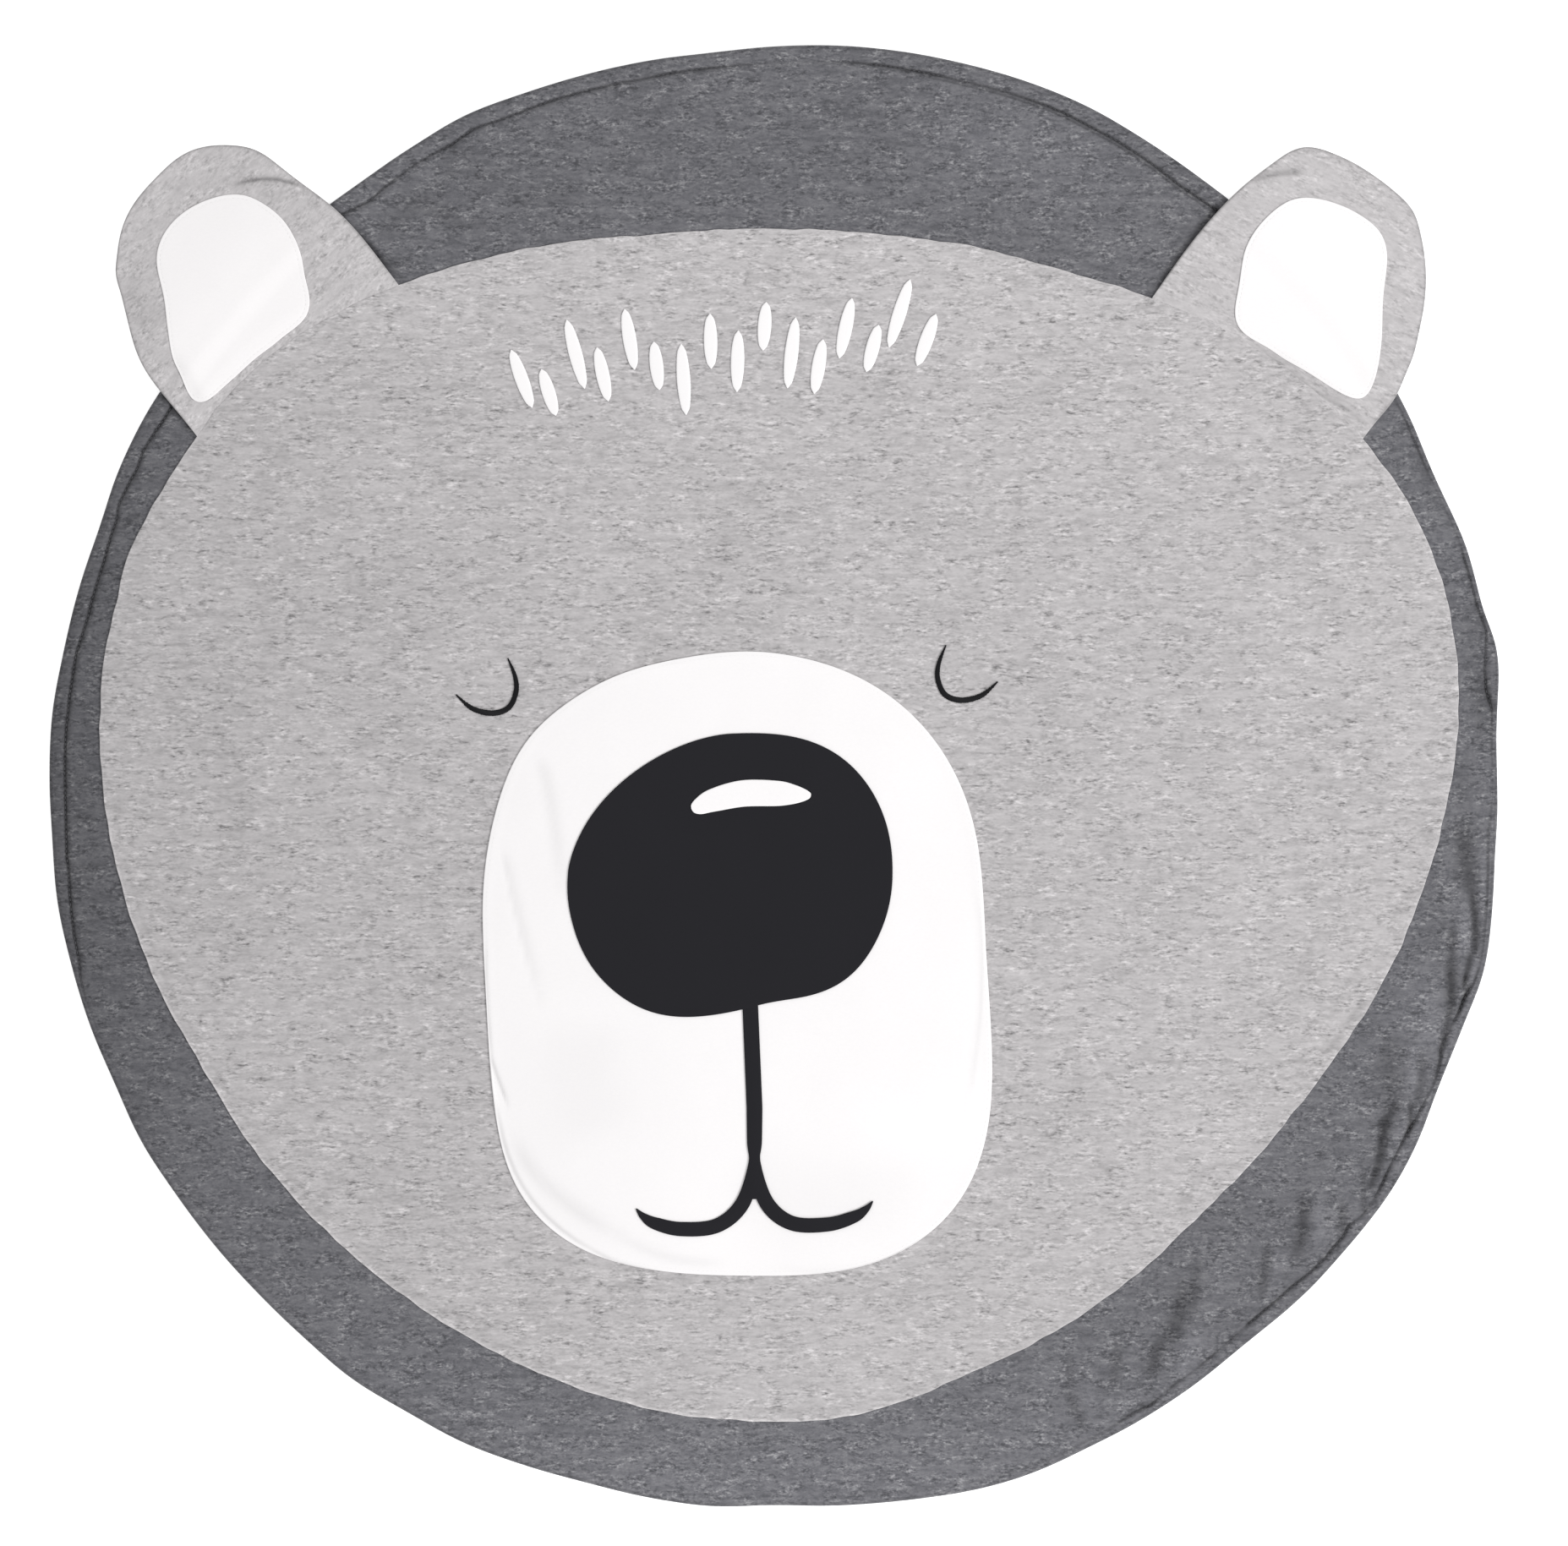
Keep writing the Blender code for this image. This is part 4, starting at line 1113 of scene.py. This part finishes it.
class EarPlace:
    """An ear's own directions: across its root to the crown, and out from the head."""

    def __init__(self, low, high, turn):
        ends = np.radians([low, high])
        corners = np.stack(ring_at(planned_head(ends), ends), axis=1)
        self.middle = corners.mean(axis=0)
        root = (corners[1] - corners[0]) / np.linalg.norm(corners[1] - corners[0])
        off_root = np.array([root[1], -root[0]])
        if off_root @ self.middle < 0:
            off_root = -off_root
        turn = math.radians(turn)
        self.across = root * math.cos(turn) - off_root * math.sin(turn)
        self.out = off_root * math.cos(turn) + root * math.sin(turn)

    def place(self, across, out):
        return self.middle + self.across * across + self.out * out

    def fullness(self, x, y):
        dx, dy = x - self.middle[0], y - self.middle[1]
        across = dx * self.across[0] + dy * self.across[1]
        out = np.maximum(0, dx * self.out[0] + dy * self.out[1])
        across = across - EAR_LEAN * (out / EAR_HEIGHT) ** 2
        return (np.abs(across) / EAR_HALF_WIDTH) ** EAR_POWER + (out / EAR_HEIGHT) ** EAR_POWER

    def edge(self, side, centre, angles):
        """How far the ear goes from centre: to its own edge, or to its root just under the head's edge."""
        free = reach(lambda x, y: self.fullness(x, y) < 1, centre, angles) + bulging(angles, EAR_BULGES[side])
        root = reach(lambda x, y: np.hypot(x, y) > head_radius(np.arctan2(y, x)) - 0.6, centre, angles)
        return np.minimum(free, root)


print("an ear is", 2 * EAR_HALF_WIDTH, "by", EAR_HEIGHT, "mm")

# %% Smooth lines and rays
def smooth_line(points, per_span, closed=False):
    """Points on a smooth line through a few: a Catmull-Rom curve."""
    points = np.array(points, float)
    count = len(points)
    line = []
    for i in range(count if closed else count - 1):
        near = [(i + k) % count if closed else min(count - 1, max(0, i + k)) for k in (-1, 0, 1, 2)]
        before, start, end, after = points[near]
        for t in np.arange(per_span) / per_span:
            line.append(
                0.5 * (2 * start + (end - before) * t + (2 * before - 5 * start + 4 * end - after) * t**2
                       + (3 * start - before - 3 * end + after) * t**3)
            )
    if not closed:
        line.append(points[-1])
    return np.array(line)


def ray_lengths(outline, centre, angles):
    """How far each ray from centre goes until it crosses the closed outline round it."""
    a = outline - centre
    b = np.roll(a, -1, axis=0)
    lengths = []
    for angle in angles:
        ray = np.array([math.cos(angle), math.sin(angle)])
        side_a = ray[0] * a[:, 1] - ray[1] * a[:, 0]
        side_b = ray[0] * b[:, 1] - ray[1] * b[:, 0]
        hit = (side_a * side_b <= 0) & (side_a != side_b)
        share = side_a[hit] / (side_a[hit] - side_b[hit])
        lengths.append(float(((a[hit] + (b[hit] - a[hit]) * share[:, None]) @ ray).max()))
    return np.array(lengths)


print("the patch's outline has", len(smooth_line(INNER_EAR, 16, closed=True)), "points")

# %% [markdown]
# ## Sewing the ears
# The ear and its patch are made alike: rings from the middle to the edge, a rounded edge, and a few
# underneath. The ear's free edge is a soft roll of two layers, deepened with painted shade, and at its root it
# thins into the seam. Both ears come from one function, so only their places, bulges and creases are written
# twice.

# %% Sewing both ears
# columns as for the mat's creases: the darkening is painted shade, and painted light below zero
EAR_CREASES = {
    "left": [
        (-333, 365, -311, 368.5, -290, 362.5, 0.8, 0.8, -0.5, 0.24),
        (-336, 366, -325, 368, -314, 369, 2.4, 2, -0.2, 0.06),
        (-330, 371, -310, 374, -290, 368, 1.2, 1.8, 0.3, -0.05),
        (-397, 306, -394, 290, -386, 272, 4, 4, -0.2, 0.04),
        (-372, 262, -362, 244, -352, 228, 3, 4, -0.2, 0.03),
    ],
    "right": [
        (294, 367, 310, 371, 328, 372, 2.4, 1, -0.5, 0.17),
        (288, 373, 298, 378, 312, 378, 1.2, 2, -0.3, 0.06),
        (296, 267.5, 332, 239, 366, 219, 1, 0.8, -0.4, 0.1),
        (306, 263, 333, 243, 361, 225, 2.4, 2.4, 0, 0.04),
    ],
}
EAR_EDGE_RINGS = (4.2, 3.6, 3.0, 2.6, 2.2, 1.8, 1.3, 0.9)  # mm inside the edge


def make_ear(side, low, high, turn, jersey):
    ear = EarPlace(low, high, turn)
    centre = ear.place(*EAR_MIDDLE)
    angles = np.linspace(0, math.tau, 600, endpoint=False)
    patch = smooth_line([ear.place(*p) for p in INNER_EAR], 16, closed=True)
    inner = ray_lengths(patch, centre, angles) + bulging(angles, INNER_BULGES[side])
    outer = ear.edge(side, centre, angles)

    def sewn(node, edge_at, level, soft, finish, flat, rests_on, seam, rolled):
        """seam: depth of its stitched line. rolled: how much painted shade deepens its edge."""
        rings, shades = [], []

        def lay(radius, share, raised=0.0, with_crease=True, line=0.0):
            x, y = ring_at(radius, angles, centre)
            crease, dark = shape_creases(x, y, EAR_CREASES[side]) if with_crease else (0 * x, 0 * x)
            rings.append(np.stack([x, y, level(x, y, share) + raised + crease * from_root(x, y)], axis=1))
            shades.append(dark + line)

        for share in np.concatenate([np.linspace(0.04, 0.68, 18)[:-1], np.linspace(0.68, 1, 30)]):
            lay((edge_at - 5) * share, 1)
        for inward in EAR_EDGE_RINGS:
            lay(edge_at - inward, 1, -seam * bell(inward - 2.4, 0.5), True, rolled * bell(inward, 0.9))
        lay(edge_at - 0.75 * soft - 0.05, 1, 0, True, rolled)
        for angle in np.linspace(0.1, 0.9, 8) * math.pi:
            lay(edge_at - soft * (1 - math.sin(angle)), 0.5 + 0.5 * math.cos(angle), 0, False, rolled)
        for share in (1, 0.5, 0.1):
            lay((edge_at - 2) * share, 0, 0, False)
        x, y = np.array([centre[0]]), np.array([centre[1]])
        ends = [(*centre, float(level(x, y, share)[0])) for share in (1, 0)]
        piece = ringed(node + "_cloth", rings, *ends, shades)
        dress(piece, finish, node)
        cut_from(piece, flat, area_of(*ring_at(edge_at, angles, centre)), rests_on)

    def patch_level(x, y, share):
        return ear_level(x, y, 1) + PATCH_GAP + PATCH_THICK * share

    free = from_root(*ring_at(outer, angles, centre))
    sewn(f"ear_{side}", outer, ear_level, 0.07 + 0.83 * free**0.5, jersey,
         (0.165, 0.145), "mat_cloth", 0.0, 0.16 * free)
    sewn(f"inner_ear_{side}", inner, patch_level, 0.35, white_jersey,
         (0.125, 0.105), f"ear_{side}_cloth", 0.05, 0)
    return side, centre, angles, inner


ear_seams = [make_ear(*ear, jersey) for ear, jersey in zip(EARS, (left_ear_jersey, right_ear_jersey))]

# %% [markdown]
# ## The muzzle
# The muzzle is smooth single jersey. Its edge is turned in, and at its left and lower edge the allowance
# shows through as a soft step a few millimetres inside. The steps are creases with a sharp side, listed one
# by one. Painted shade darkens them, and painted light makes a few raised lines paler.

# %% Muzzle
PANEL_TURN = np.linspace(0, math.tau, 480, endpoint=False)
# columns as for the mat's creases: the darkening is painted shade, and painted light below zero
MUZZLE_CREASES = [
    (-147, 10.6, -139, -14, -132, -72, 3, 3, -0.3, 0.035),
    (-168, -47, -161, -78, -144.6, -141, 2.6, 1.2, -0.3, 0.04),
    (-178.5, -104, -178, -140, -174.5, -176, 1, 0.7, -0.3, 0.06),
    (-175.5, -173, -170.5, -188, -164.5, -204, 0.9, 0.5, -0.4, 0.11),
    (-181, -118, -178.5, -165, -169, -210, 1, 1, 0.2, -0.05),
    (-170.7, -205, -152, -259, -106, -296, 1.1, 0.7, -0.35, 0.09),
    (-112, -293, -95, -301, -72, -306, 1, 0.7, -0.3, 0.06),
    (-173.5, -210, -155, -262, -108, -299, 0.8, 0.8, 0.2, -0.05),
    (-161, -223, -139, -255, -92, -286, 3.4, 3.4, -0.2, 0.045),
    (-96, -284, -66, -297, -32, -300, 2.4, 2.4, -0.2, 0.03),
    (-120, -150, -118, -190, -110, -230, 20, 20, -0.2, 0.02),
    (-30, -240, 20, -262, 80, -250, 20, 16, -0.2, 0.015),
    (40, -190, 90, -220, 118, -180, 14, 14, 0.2, -0.01),
    (-150, 38, -120, 62, -60, 70, 2.2, 0.8, -0.2, 0.025),
    (124, -70, 127, -140, 116, -220, 0.8, 2.4, -0.2, 0.02),
    (20, 70, 70, 64, 104, 40, 2.2, 0.8, -0.2, 0.02),
    (0, -304, 50, -304, 96, -284, 2.4, 0.8, -0.2, 0.02),
]
GAP, MUZZLE_THICK = 0.2, 0.6
ON_HEAD = HEAD_UNDER + HEAD_THICK + GAP
MUZZLE_AT = egg_reach(MUZZLE, MUZZLE["middle"], PANEL_TURN) + bulging(PANEL_TURN, MUZZLE_BULGES)
muzzle = Panel("muzzle", MUZZLE_AT, MUZZLE["middle"], PANEL_TURN, ON_HEAD, MUZZLE_THICK, MUZZLE_CREASES)
muzzle_cloth = lay_panel(muzzle, np.linspace(0.04, 1, 44)[:-1], 0.1, 0.3)
sew_panel(muzzle_cloth, muzzle, muzzle_jersey, "muzzle", (0.33, 0.40), "head_cloth")

# %% [markdown]
# ## The nose
# The nose is one cut of black jersey on the muzzle. It has no creases of its own and is laid as the muzzle
# is, with fewer rings, because it is small and black cloth shows hardly any relief.

# %% Nose
NOSE_THICK = 0.5
ON_MUZZLE = ON_HEAD + MUZZLE_THICK + GAP
NOSE_AT = egg_reach(NOSE, NOSE["middle"], PANEL_TURN) + bulging(PANEL_TURN, NOSE_BULGES)
nose = Panel("nose", NOSE_AT, NOSE["middle"], PANEL_TURN, ON_MUZZLE, NOSE_THICK, ())
nose_cloth = lay_panel(nose, np.linspace(0.05, 1, 16)[:-1], 0.05, 0.25)
sew_panel(nose_cloth, nose, black_jersey, "nose", (0.21, 0.19), "muzzle_cloth")

# %% [markdown]
# ## A way to make strokes
# The light on the nose, the closed eyes and the forehead tuft are narrow strokes. Each is a smooth line
# through a few places with its own half width. A low rounded section runs along it. One of Blender's curves
# could be bevelled for this, but here the edge of a stitched stroke also gets fine steps, one for each few
# threads, and the thread needs a map that runs along the stroke.

# %% Strokes along a line
SECTION_SIDES, STEP_PITCH, NARROWEST = 14, 0.9, 0.15


def sideways(line):
    """The direction to the right of the way, at each point of a line."""
    ahead = np.gradient(line[:, :2], axis=0)
    ahead /= np.linalg.norm(ahead, axis=1)[:, None]
    return np.stack([ahead[:, 1], -ahead[:, 0]], axis=1)


def run_along(line):
    """How far each point is along a line."""
    return np.concatenate([[0], np.cumsum(np.linalg.norm(np.diff(line, axis=0), axis=1))])


def stroke_rings(line, run, under, thick, steps, rounded):
    """Closed sections along a stroke, and how far across it their points are."""
    half = line[:, 2] + steps * np.sign(np.sin(math.tau * run / STEP_PITCH)) * np.clip(line[:, 2], 0, 1)
    turn = np.linspace(0, math.tau, SECTION_SIDES, endpoint=False)
    across = np.sign(np.cos(turn)) * np.abs(np.cos(turn)) ** rounded
    high = thick / 2 * (1 + np.sign(np.sin(turn)) * np.abs(np.sin(turn)) ** rounded)
    rings, offs = [], []
    for place, side, wide in zip(line[:, :2], sideways(line), np.maximum(half, NARROWEST)):
        off = wide * across
        x, y = place[0] + side[0] * off, place[1] + side[1] * off
        rings.append(np.stack([x, y, under + high + lift(x, y) + swell(x, y)], axis=1))
        offs.append(off)
    return rings, offs


def add_thread_map(piece, run, offs):
    """A UV map in metres: u along the stroke, v across it."""
    layer = piece.data.uv_layers.new(name="thread")
    u = np.concatenate([np.repeat(run, SECTION_SIDES), [run[0], run[-1]]])
    v = np.concatenate([np.concatenate(offs), [0, 0]])
    corner = np.empty(len(piece.data.loops), np.int32)
    piece.data.loops.foreach_get("vertex_index", corner)
    pairs = np.stack([u[corner], v[corner]], axis=1) * MM
    layer.data.foreach_set("uv", pairs.astype(np.float32).ravel())


def make_stroke(name, stroke, per_span, under, thick, finish, node, steps=0.0, rounded=0.5):
    """stroke: x, y and half width. steps: how far the stitched edge steps in and out. Gives its area too."""
    line = smooth_line(stroke, per_span)
    run = run_along(line[:, :2])
    rings, offs = stroke_rings(line, run, under, thick, steps, rounded)
    ends = [ring.mean(axis=0) for ring in (rings[0], rings[-1])]
    piece = ringed(name, rings, *ends, [0 * ring[:, 0] for ring in rings])
    add_thread_map(piece, run, offs)
    dress(piece, finish, node)
    return piece, float(np.trapz(2 * line[:, 2], run)) * 1e-6


print("a stroke's section has", SECTION_SIDES, "sides")

# %% [markdown]
# ## The light on the nose
# A small white patch with a blunt left end and a thin right end, cut from white cotton like the muzzle's. A
# line with a width is easier to shape than an outline, so it is made as a stroke, with a smooth edge.

# %% Light on the nose
# x, y, half width
NOSE_LIGHT = [
    (-51, -20.8, 0.6), (-50, -20.4, 3), (-46, -18.8, 5.3), (-37, -15, 7.2), (-19, -11, 8.2), (2, -11, 7.8),
    (12, -11.6, 6), (18.5, -12, 3.8), (21.8, -12.2, 1.9), (22.6, -12.3, 0.5),
]
ON_NOSE = ON_MUZZLE + NOSE_THICK + GAP
nose_light, nose_light_area = make_stroke(
    "nose_light_cloth", NOSE_LIGHT, 10, ON_NOSE, 0.45, white_jersey, "nose_highlight",
    rounded=0.35,
)
cut_from(nose_light, (0.017, 0.074), nose_light_area, "nose_cloth")

# %% [markdown]
# ## Closed eyes
# Each eye is one curved stroke in black satin stitch, with fine ends. An embroiderer turns the same template
# over for the second eye, so the right one is the left one mirrored.

# %% Closed eyes in black satin stitch
# x, y, half width
EYE = [
    (-18.5, -5, 0.4), (-8.5, -13.5, 1.5), (4, -16.5, 1.75), (14, -13, 1.7), (18.5, -3.5, 1.6), (18, 6, 1.3),
    (13.5, 17.5, 0.4),
]
for side, x, y, mirror in (("left", -178, 55, 1), ("right", 119.5, 63, -1)):
    stroke = [(x + mirror * px, y + py, half) for px, py, half in EYE]
    eye_stitches, _ = make_stroke(
        f"eye_{side}_stitches", stroke, 24, ON_HEAD, 0.6, black_satin, f"eye_{side}",
        steps=0.14, rounded=0.8,
    )
    sew_on(eye_stitches, "head_cloth")

# %% [markdown]
# ## The tuft
# Short white strokes stand in a loose band on the forehead. They are laid by a rule: evenly along the band,
# at heights and lengths that repeat out of step with each other, leaning out like a fan. A rule is shorter
# than sixteen drawn strokes, and as long as its rows are out of step it doesn't look like one.

# %% Forehead tuft
TUFT_COUNT = 16
TUFT_LEFT, TUFT_RIGHT, TUFT_Y, TUFT_RISE = -156, 94, 245, 24
TUFT_STAGGER, TUFT_LENGTHS, TUFT_WIDTH, TUFT_FAN = (0, -10, 12, -2, 18), (38, 30, 44, 34), 8.4, 20

for i in range(TUFT_COUNT):
    share = i / (TUFT_COUNT - 1)
    x = TUFT_LEFT + (TUFT_RIGHT - TUFT_LEFT) * share
    y = TUFT_Y + TUFT_RISE * share + TUFT_STAGGER[i % len(TUFT_STAGGER)]
    lean = math.radians(TUFT_FAN) * (2 * share - 1)
    half = TUFT_LENGTHS[i % len(TUFT_LENGTHS)] / 2
    leaf = []
    for step in np.linspace(-1, 1, 13):
        wide = TUFT_WIDTH / 2 * math.sqrt(max(0.0, 1 - step * step))
        leaf.append((x + half * step * math.sin(lean), y + half * step * math.cos(lean), max(wide, 0.2)))
    node = f"tuft_{i + 1:02d}"
    leaf_stitches, _ = make_stroke(
        node + "_stitches", leaf, 6, ON_HEAD, 0.5, white_satin, node,
        steps=0.06, rounded=0.7,
    )
    sew_on(leaf_stitches, "head_cloth")

# %% [markdown]
# ## The mouth
# The mouth is one cut of black jersey: a stem under the nose that parts into two upturned arms. A stroke
# can't fork, so its outline is worked out instead: the right arm as a line with a half width, the left one
# mirrored, the stem's top on the nose's edge, and the whole a little tilted.

# %% Mouth outline
MOUTH_X = -12.2
MOUTH_TILT = 0.032
# x from the stem, y, half width
MOUTH_ARM = [
    (0, -205, 4.9), (0, -226, 4.6), (0, -240, 3.9), (7.5, -264, 4.6), (23, -277, 4.5), (45, -278.5, 4.4),
    (61, -274.5, 3.8), (68.5, -270, 2.3), (73, -265, 0.4),
]
STEM_TOP_X, STEM_TOP_HALF_WIDTH = MOUTH_X - 2.6, 4.8
NOSE_FOOT = slice(300, 420)  # the nose's lower edge in PANEL_TURN, from left to right


def mouth_outline():
    line = smooth_line([(px + MOUTH_X, py, half) for px, py, half in MOUTH_ARM], 10)
    left = -sideways(line) * line[:, 2:3]
    outer, inner = line[:, :2] + left, line[:, :2] - left
    inner = inner[inner[:, 0] > MOUTH_X + 0.3]
    right_arm = np.concatenate([outer, inner[::-1]])
    left_arm = right_arm[::-1] * (-1, 1) + (2 * MOUTH_X, 0)
    nose_x, nose_y = ring_at(NOSE_AT[NOSE_FOOT], PANEL_TURN[NOSE_FOOT], NOSE["middle"])
    top = [(x, np.interp(x, nose_x, nose_y) + 0.5)
           for x in (STEM_TOP_X - STEM_TOP_HALF_WIDTH, STEM_TOP_X + STEM_TOP_HALF_WIDTH)]
    arms = np.concatenate([right_arm, left_arm])
    arms[:, 1] += MOUTH_TILT * (arms[:, 0] - MOUTH_X)
    return np.concatenate([np.array(top), arms])


outline = mouth_outline()
print("the mouth's outline has", len(outline), "points")

# %% [markdown]
# ## Filling the mouth
# Blender's curves can fill any outline and round its edge in one go. The filled curve becomes a mesh, its
# doubled points are welded so that it is closed, and it is then lowered on to the cloth.

# %% A flat cut of any outline
SHARP_FROM = 50  # degrees


def filled_patch(name, outline, under, thick, soft=0.3):
    """A flat cut of any outline: a filled curve with a softly rounded edge."""
    curve = bpy.data.curves.new(name, "CURVE")
    curve.dimensions = "2D"
    curve.fill_mode = "BOTH"
    curve.extrude = (thick / 2 - soft / 2) * MM
    curve.bevel_depth = soft / 2 * MM
    curve.bevel_resolution = 2
    curve.offset = -soft / 2 * MM
    spline = curve.splines.new("POLY")
    spline.points.add(len(outline) - 1)
    spline.use_cyclic_u = True
    flat = np.concatenate([outline * MM, np.zeros((len(outline), 1)), np.ones((len(outline), 1))], axis=1)
    spline.points.foreach_set("co", flat.astype(np.float32).ravel())
    guide = placed(name + "_guide", curve)
    mesh = bpy.data.meshes.new_from_object(guide.evaluated_get(bpy.context.evaluated_depsgraph_get()))
    bpy.data.objects.remove(guide)
    mesh.name = name
    welded = bmesh.new()
    welded.from_mesh(mesh)
    bmesh.ops.remove_doubles(welded, verts=welded.verts, dist=0.02 * MM)
    welded.to_mesh(mesh)
    welded.free()
    mesh.shade_smooth()
    mesh.set_sharp_from_angle(angle=math.radians(SHARP_FROM))
    places = np.empty(len(mesh.vertices) * 3, np.float32)
    mesh.vertices.foreach_get("co", places)
    places = places.reshape(-1, 3).astype(float)
    x, y = places[:, 0] / MM, places[:, 1] / MM
    places[:, 2] += (under + thick / 2 + lift(x, y) + swell(x, y)) * MM
    mesh.vertices.foreach_set("co", places.astype(np.float32).ravel())
    print(name, len(mesh.vertices), "points")
    return placed(name, mesh)


# %% The mouth in place
# laid end to end, its stem and arms would be a strip this wide at most, and this wide as a rule, in metres
STRIP_WIDTH, USUAL_WIDTH = 0.0102, 0.0095
mouth = filled_patch("mouth_cloth", outline, ON_MUZZLE, NOSE_THICK)
dress(mouth, black_jersey, "mouth")
mouth_area = area_of(outline[:, 0], outline[:, 1])
cut_from(mouth, (STRIP_WIDTH, mouth_area / USUAL_WIDTH), mouth_area, "muzzle_cloth")

# %% [markdown]
# ## Sewing
# Rows of small stitches hold the layers. Each stitch is a short rounded bar of thread whose ends dip into the
# cloth. All stitches of a seam are one mesh, made from arrays, because hundreds of objects would be slow.

# %% Stitches along a seam
# share of its length, rise and thickness in radii
STITCH_CUTS = [(0, -1, 0.35), (0.18, -0.1, 0.9), (0.5, 0.25, 1), (0.82, -0.1, 0.9), (1, -1, 0.35)]
THREAD_SIDES = 6
SHOWN_FROM = 0.2


def stitch_row(name, line, pitch, length, radius, finish, cloth, shows=None):
    """line: closed. A stitch of this length is laid at every pitch, where shows is above SHOWN_FROM."""
    closed = np.concatenate([line, line[:1]])
    run = run_along(closed)
    starts = np.arange(int(run[-1] / pitch)) * (run[-1] / int(run[-1] / pitch))
    if shows is not None:
        starts = starts[np.interp(starts, run[:-1], shows) > SHOWN_FROM]

    def at(way):
        return np.array([np.interp(way % run[-1], run, closed[:, k]) for k in range(3)]).T

    a, b = at(starts), at(starts + length)
    ahead = b - a
    ahead[:, 2] = 0
    ahead /= np.linalg.norm(ahead, axis=1)[:, None]
    right = np.stack([ahead[:, 1], -ahead[:, 0], 0 * ahead[:, 0]], axis=1)
    points, quads = [], []
    for cut, rise, thick in STITCH_CUTS:
        middle = a + (b - a) * cut
        middle[:, 2] += rise * radius
        for angle in np.linspace(0, math.tau, THREAD_SIDES, endpoint=False):
            round_it = right * (thick * radius * math.cos(angle))
            points.append(middle + round_it + np.array([0, 0, thick * radius * math.sin(angle)]))
    points = np.stack(points, axis=1).reshape(-1, 3)
    for here in range(0, THREAD_SIDES * (len(STITCH_CUTS) - 1), THREAD_SIDES):
        there = here + THREAD_SIDES
        for k in range(THREAD_SIDES):
            n = (k + 1) % THREAD_SIDES
            quads.append([here + k, there + k, there + n, here + n])
    first = np.arange(len(starts))[:, None, None] * THREAD_SIDES * len(STITCH_CUTS)
    mesh = bpy.data.meshes.new(name)
    mesh.from_pydata((points * MM).tolist(), [], (first + np.array(quads)).reshape(-1, 4).tolist())
    mesh.shade_smooth()
    piece = placed(name, mesh)
    dress(piece, finish)
    sew_on(piece, cloth)
    print(name, len(starts), "stitches")


print("a stitch has", THREAD_SIDES * len(STITCH_CUTS), "points")

# %% [markdown]
# ## The seams
# The mat's topstitching lies in its groove and shows where the groove does. The other seams are finer: they
# run 2.4 mm inside the edge of the head, the muzzle and each ear's patch, in thread of the cloth's own colour,
# half sunk into it.

# %% The seams
SEAM_INSIDE, EDGE_RISE, THREAD_SUNK, PATCH_SEAM_RISE = 2.4, 0.1, 0.05, 0.08


def fine_seam(name, x, y, height, thread):
    seam = np.stack([x, y, height], axis=1)
    stitch_row(f"{name}_stitching", seam, 2.8, 2.1, 0.09, thread, f"{name}_cloth")


x, y = ring_at(RIM_AT - SEAM_AT, TURN)
groove = np.stack([x, y, MAT_TOP + mat_relief(x, y)[0] - SEAM_SINK + 0.02], axis=1)
stitch_row(
    "rim_topstitching", groove, 3.0, 2.2, 0.2, dark_thread, "mat_cloth", SEAM_SHOWS
)
for panel, thread, slot in (
    (head, light_thread, "light_marl_jersey"), (muzzle, white_thread, "white_jersey"),
):
    x, y = ring_at(panel.outline - SEAM_INSIDE, panel.turn, panel.middle)
    crease, _ = shape_creases(x, y, panel.creases)
    height = panel.under + panel.thick + EDGE_RISE + lift(x, y) + swell(x, y) + crease - THREAD_SUNK
    fine_seam(panel.name, x, y, height, thread)
for side, centre, angles, inner in ear_seams:
    x, y = ring_at(inner - SEAM_INSIDE, angles, centre)
    crease, _ = shape_creases(x, y, EAR_CREASES[side])
    height = ear_level(x, y, 1) + PATCH_SEAM_RISE + PATCH_THICK + crease * from_root(x, y)
    fine_seam(f"inner_ear_{side}", x, y, height, white_thread)

# %% [markdown]
# ## What each cloth was cut to
# Cloth keeps the area that it was cut to, however it lies. Each piece is noted with its flat size and with
# the stitches that are sewn on it.

# %% The cut list
print(len(cut_pieces), "cloths with", sum(map(len, sewn_on.values())), "pieces of stitching on them")
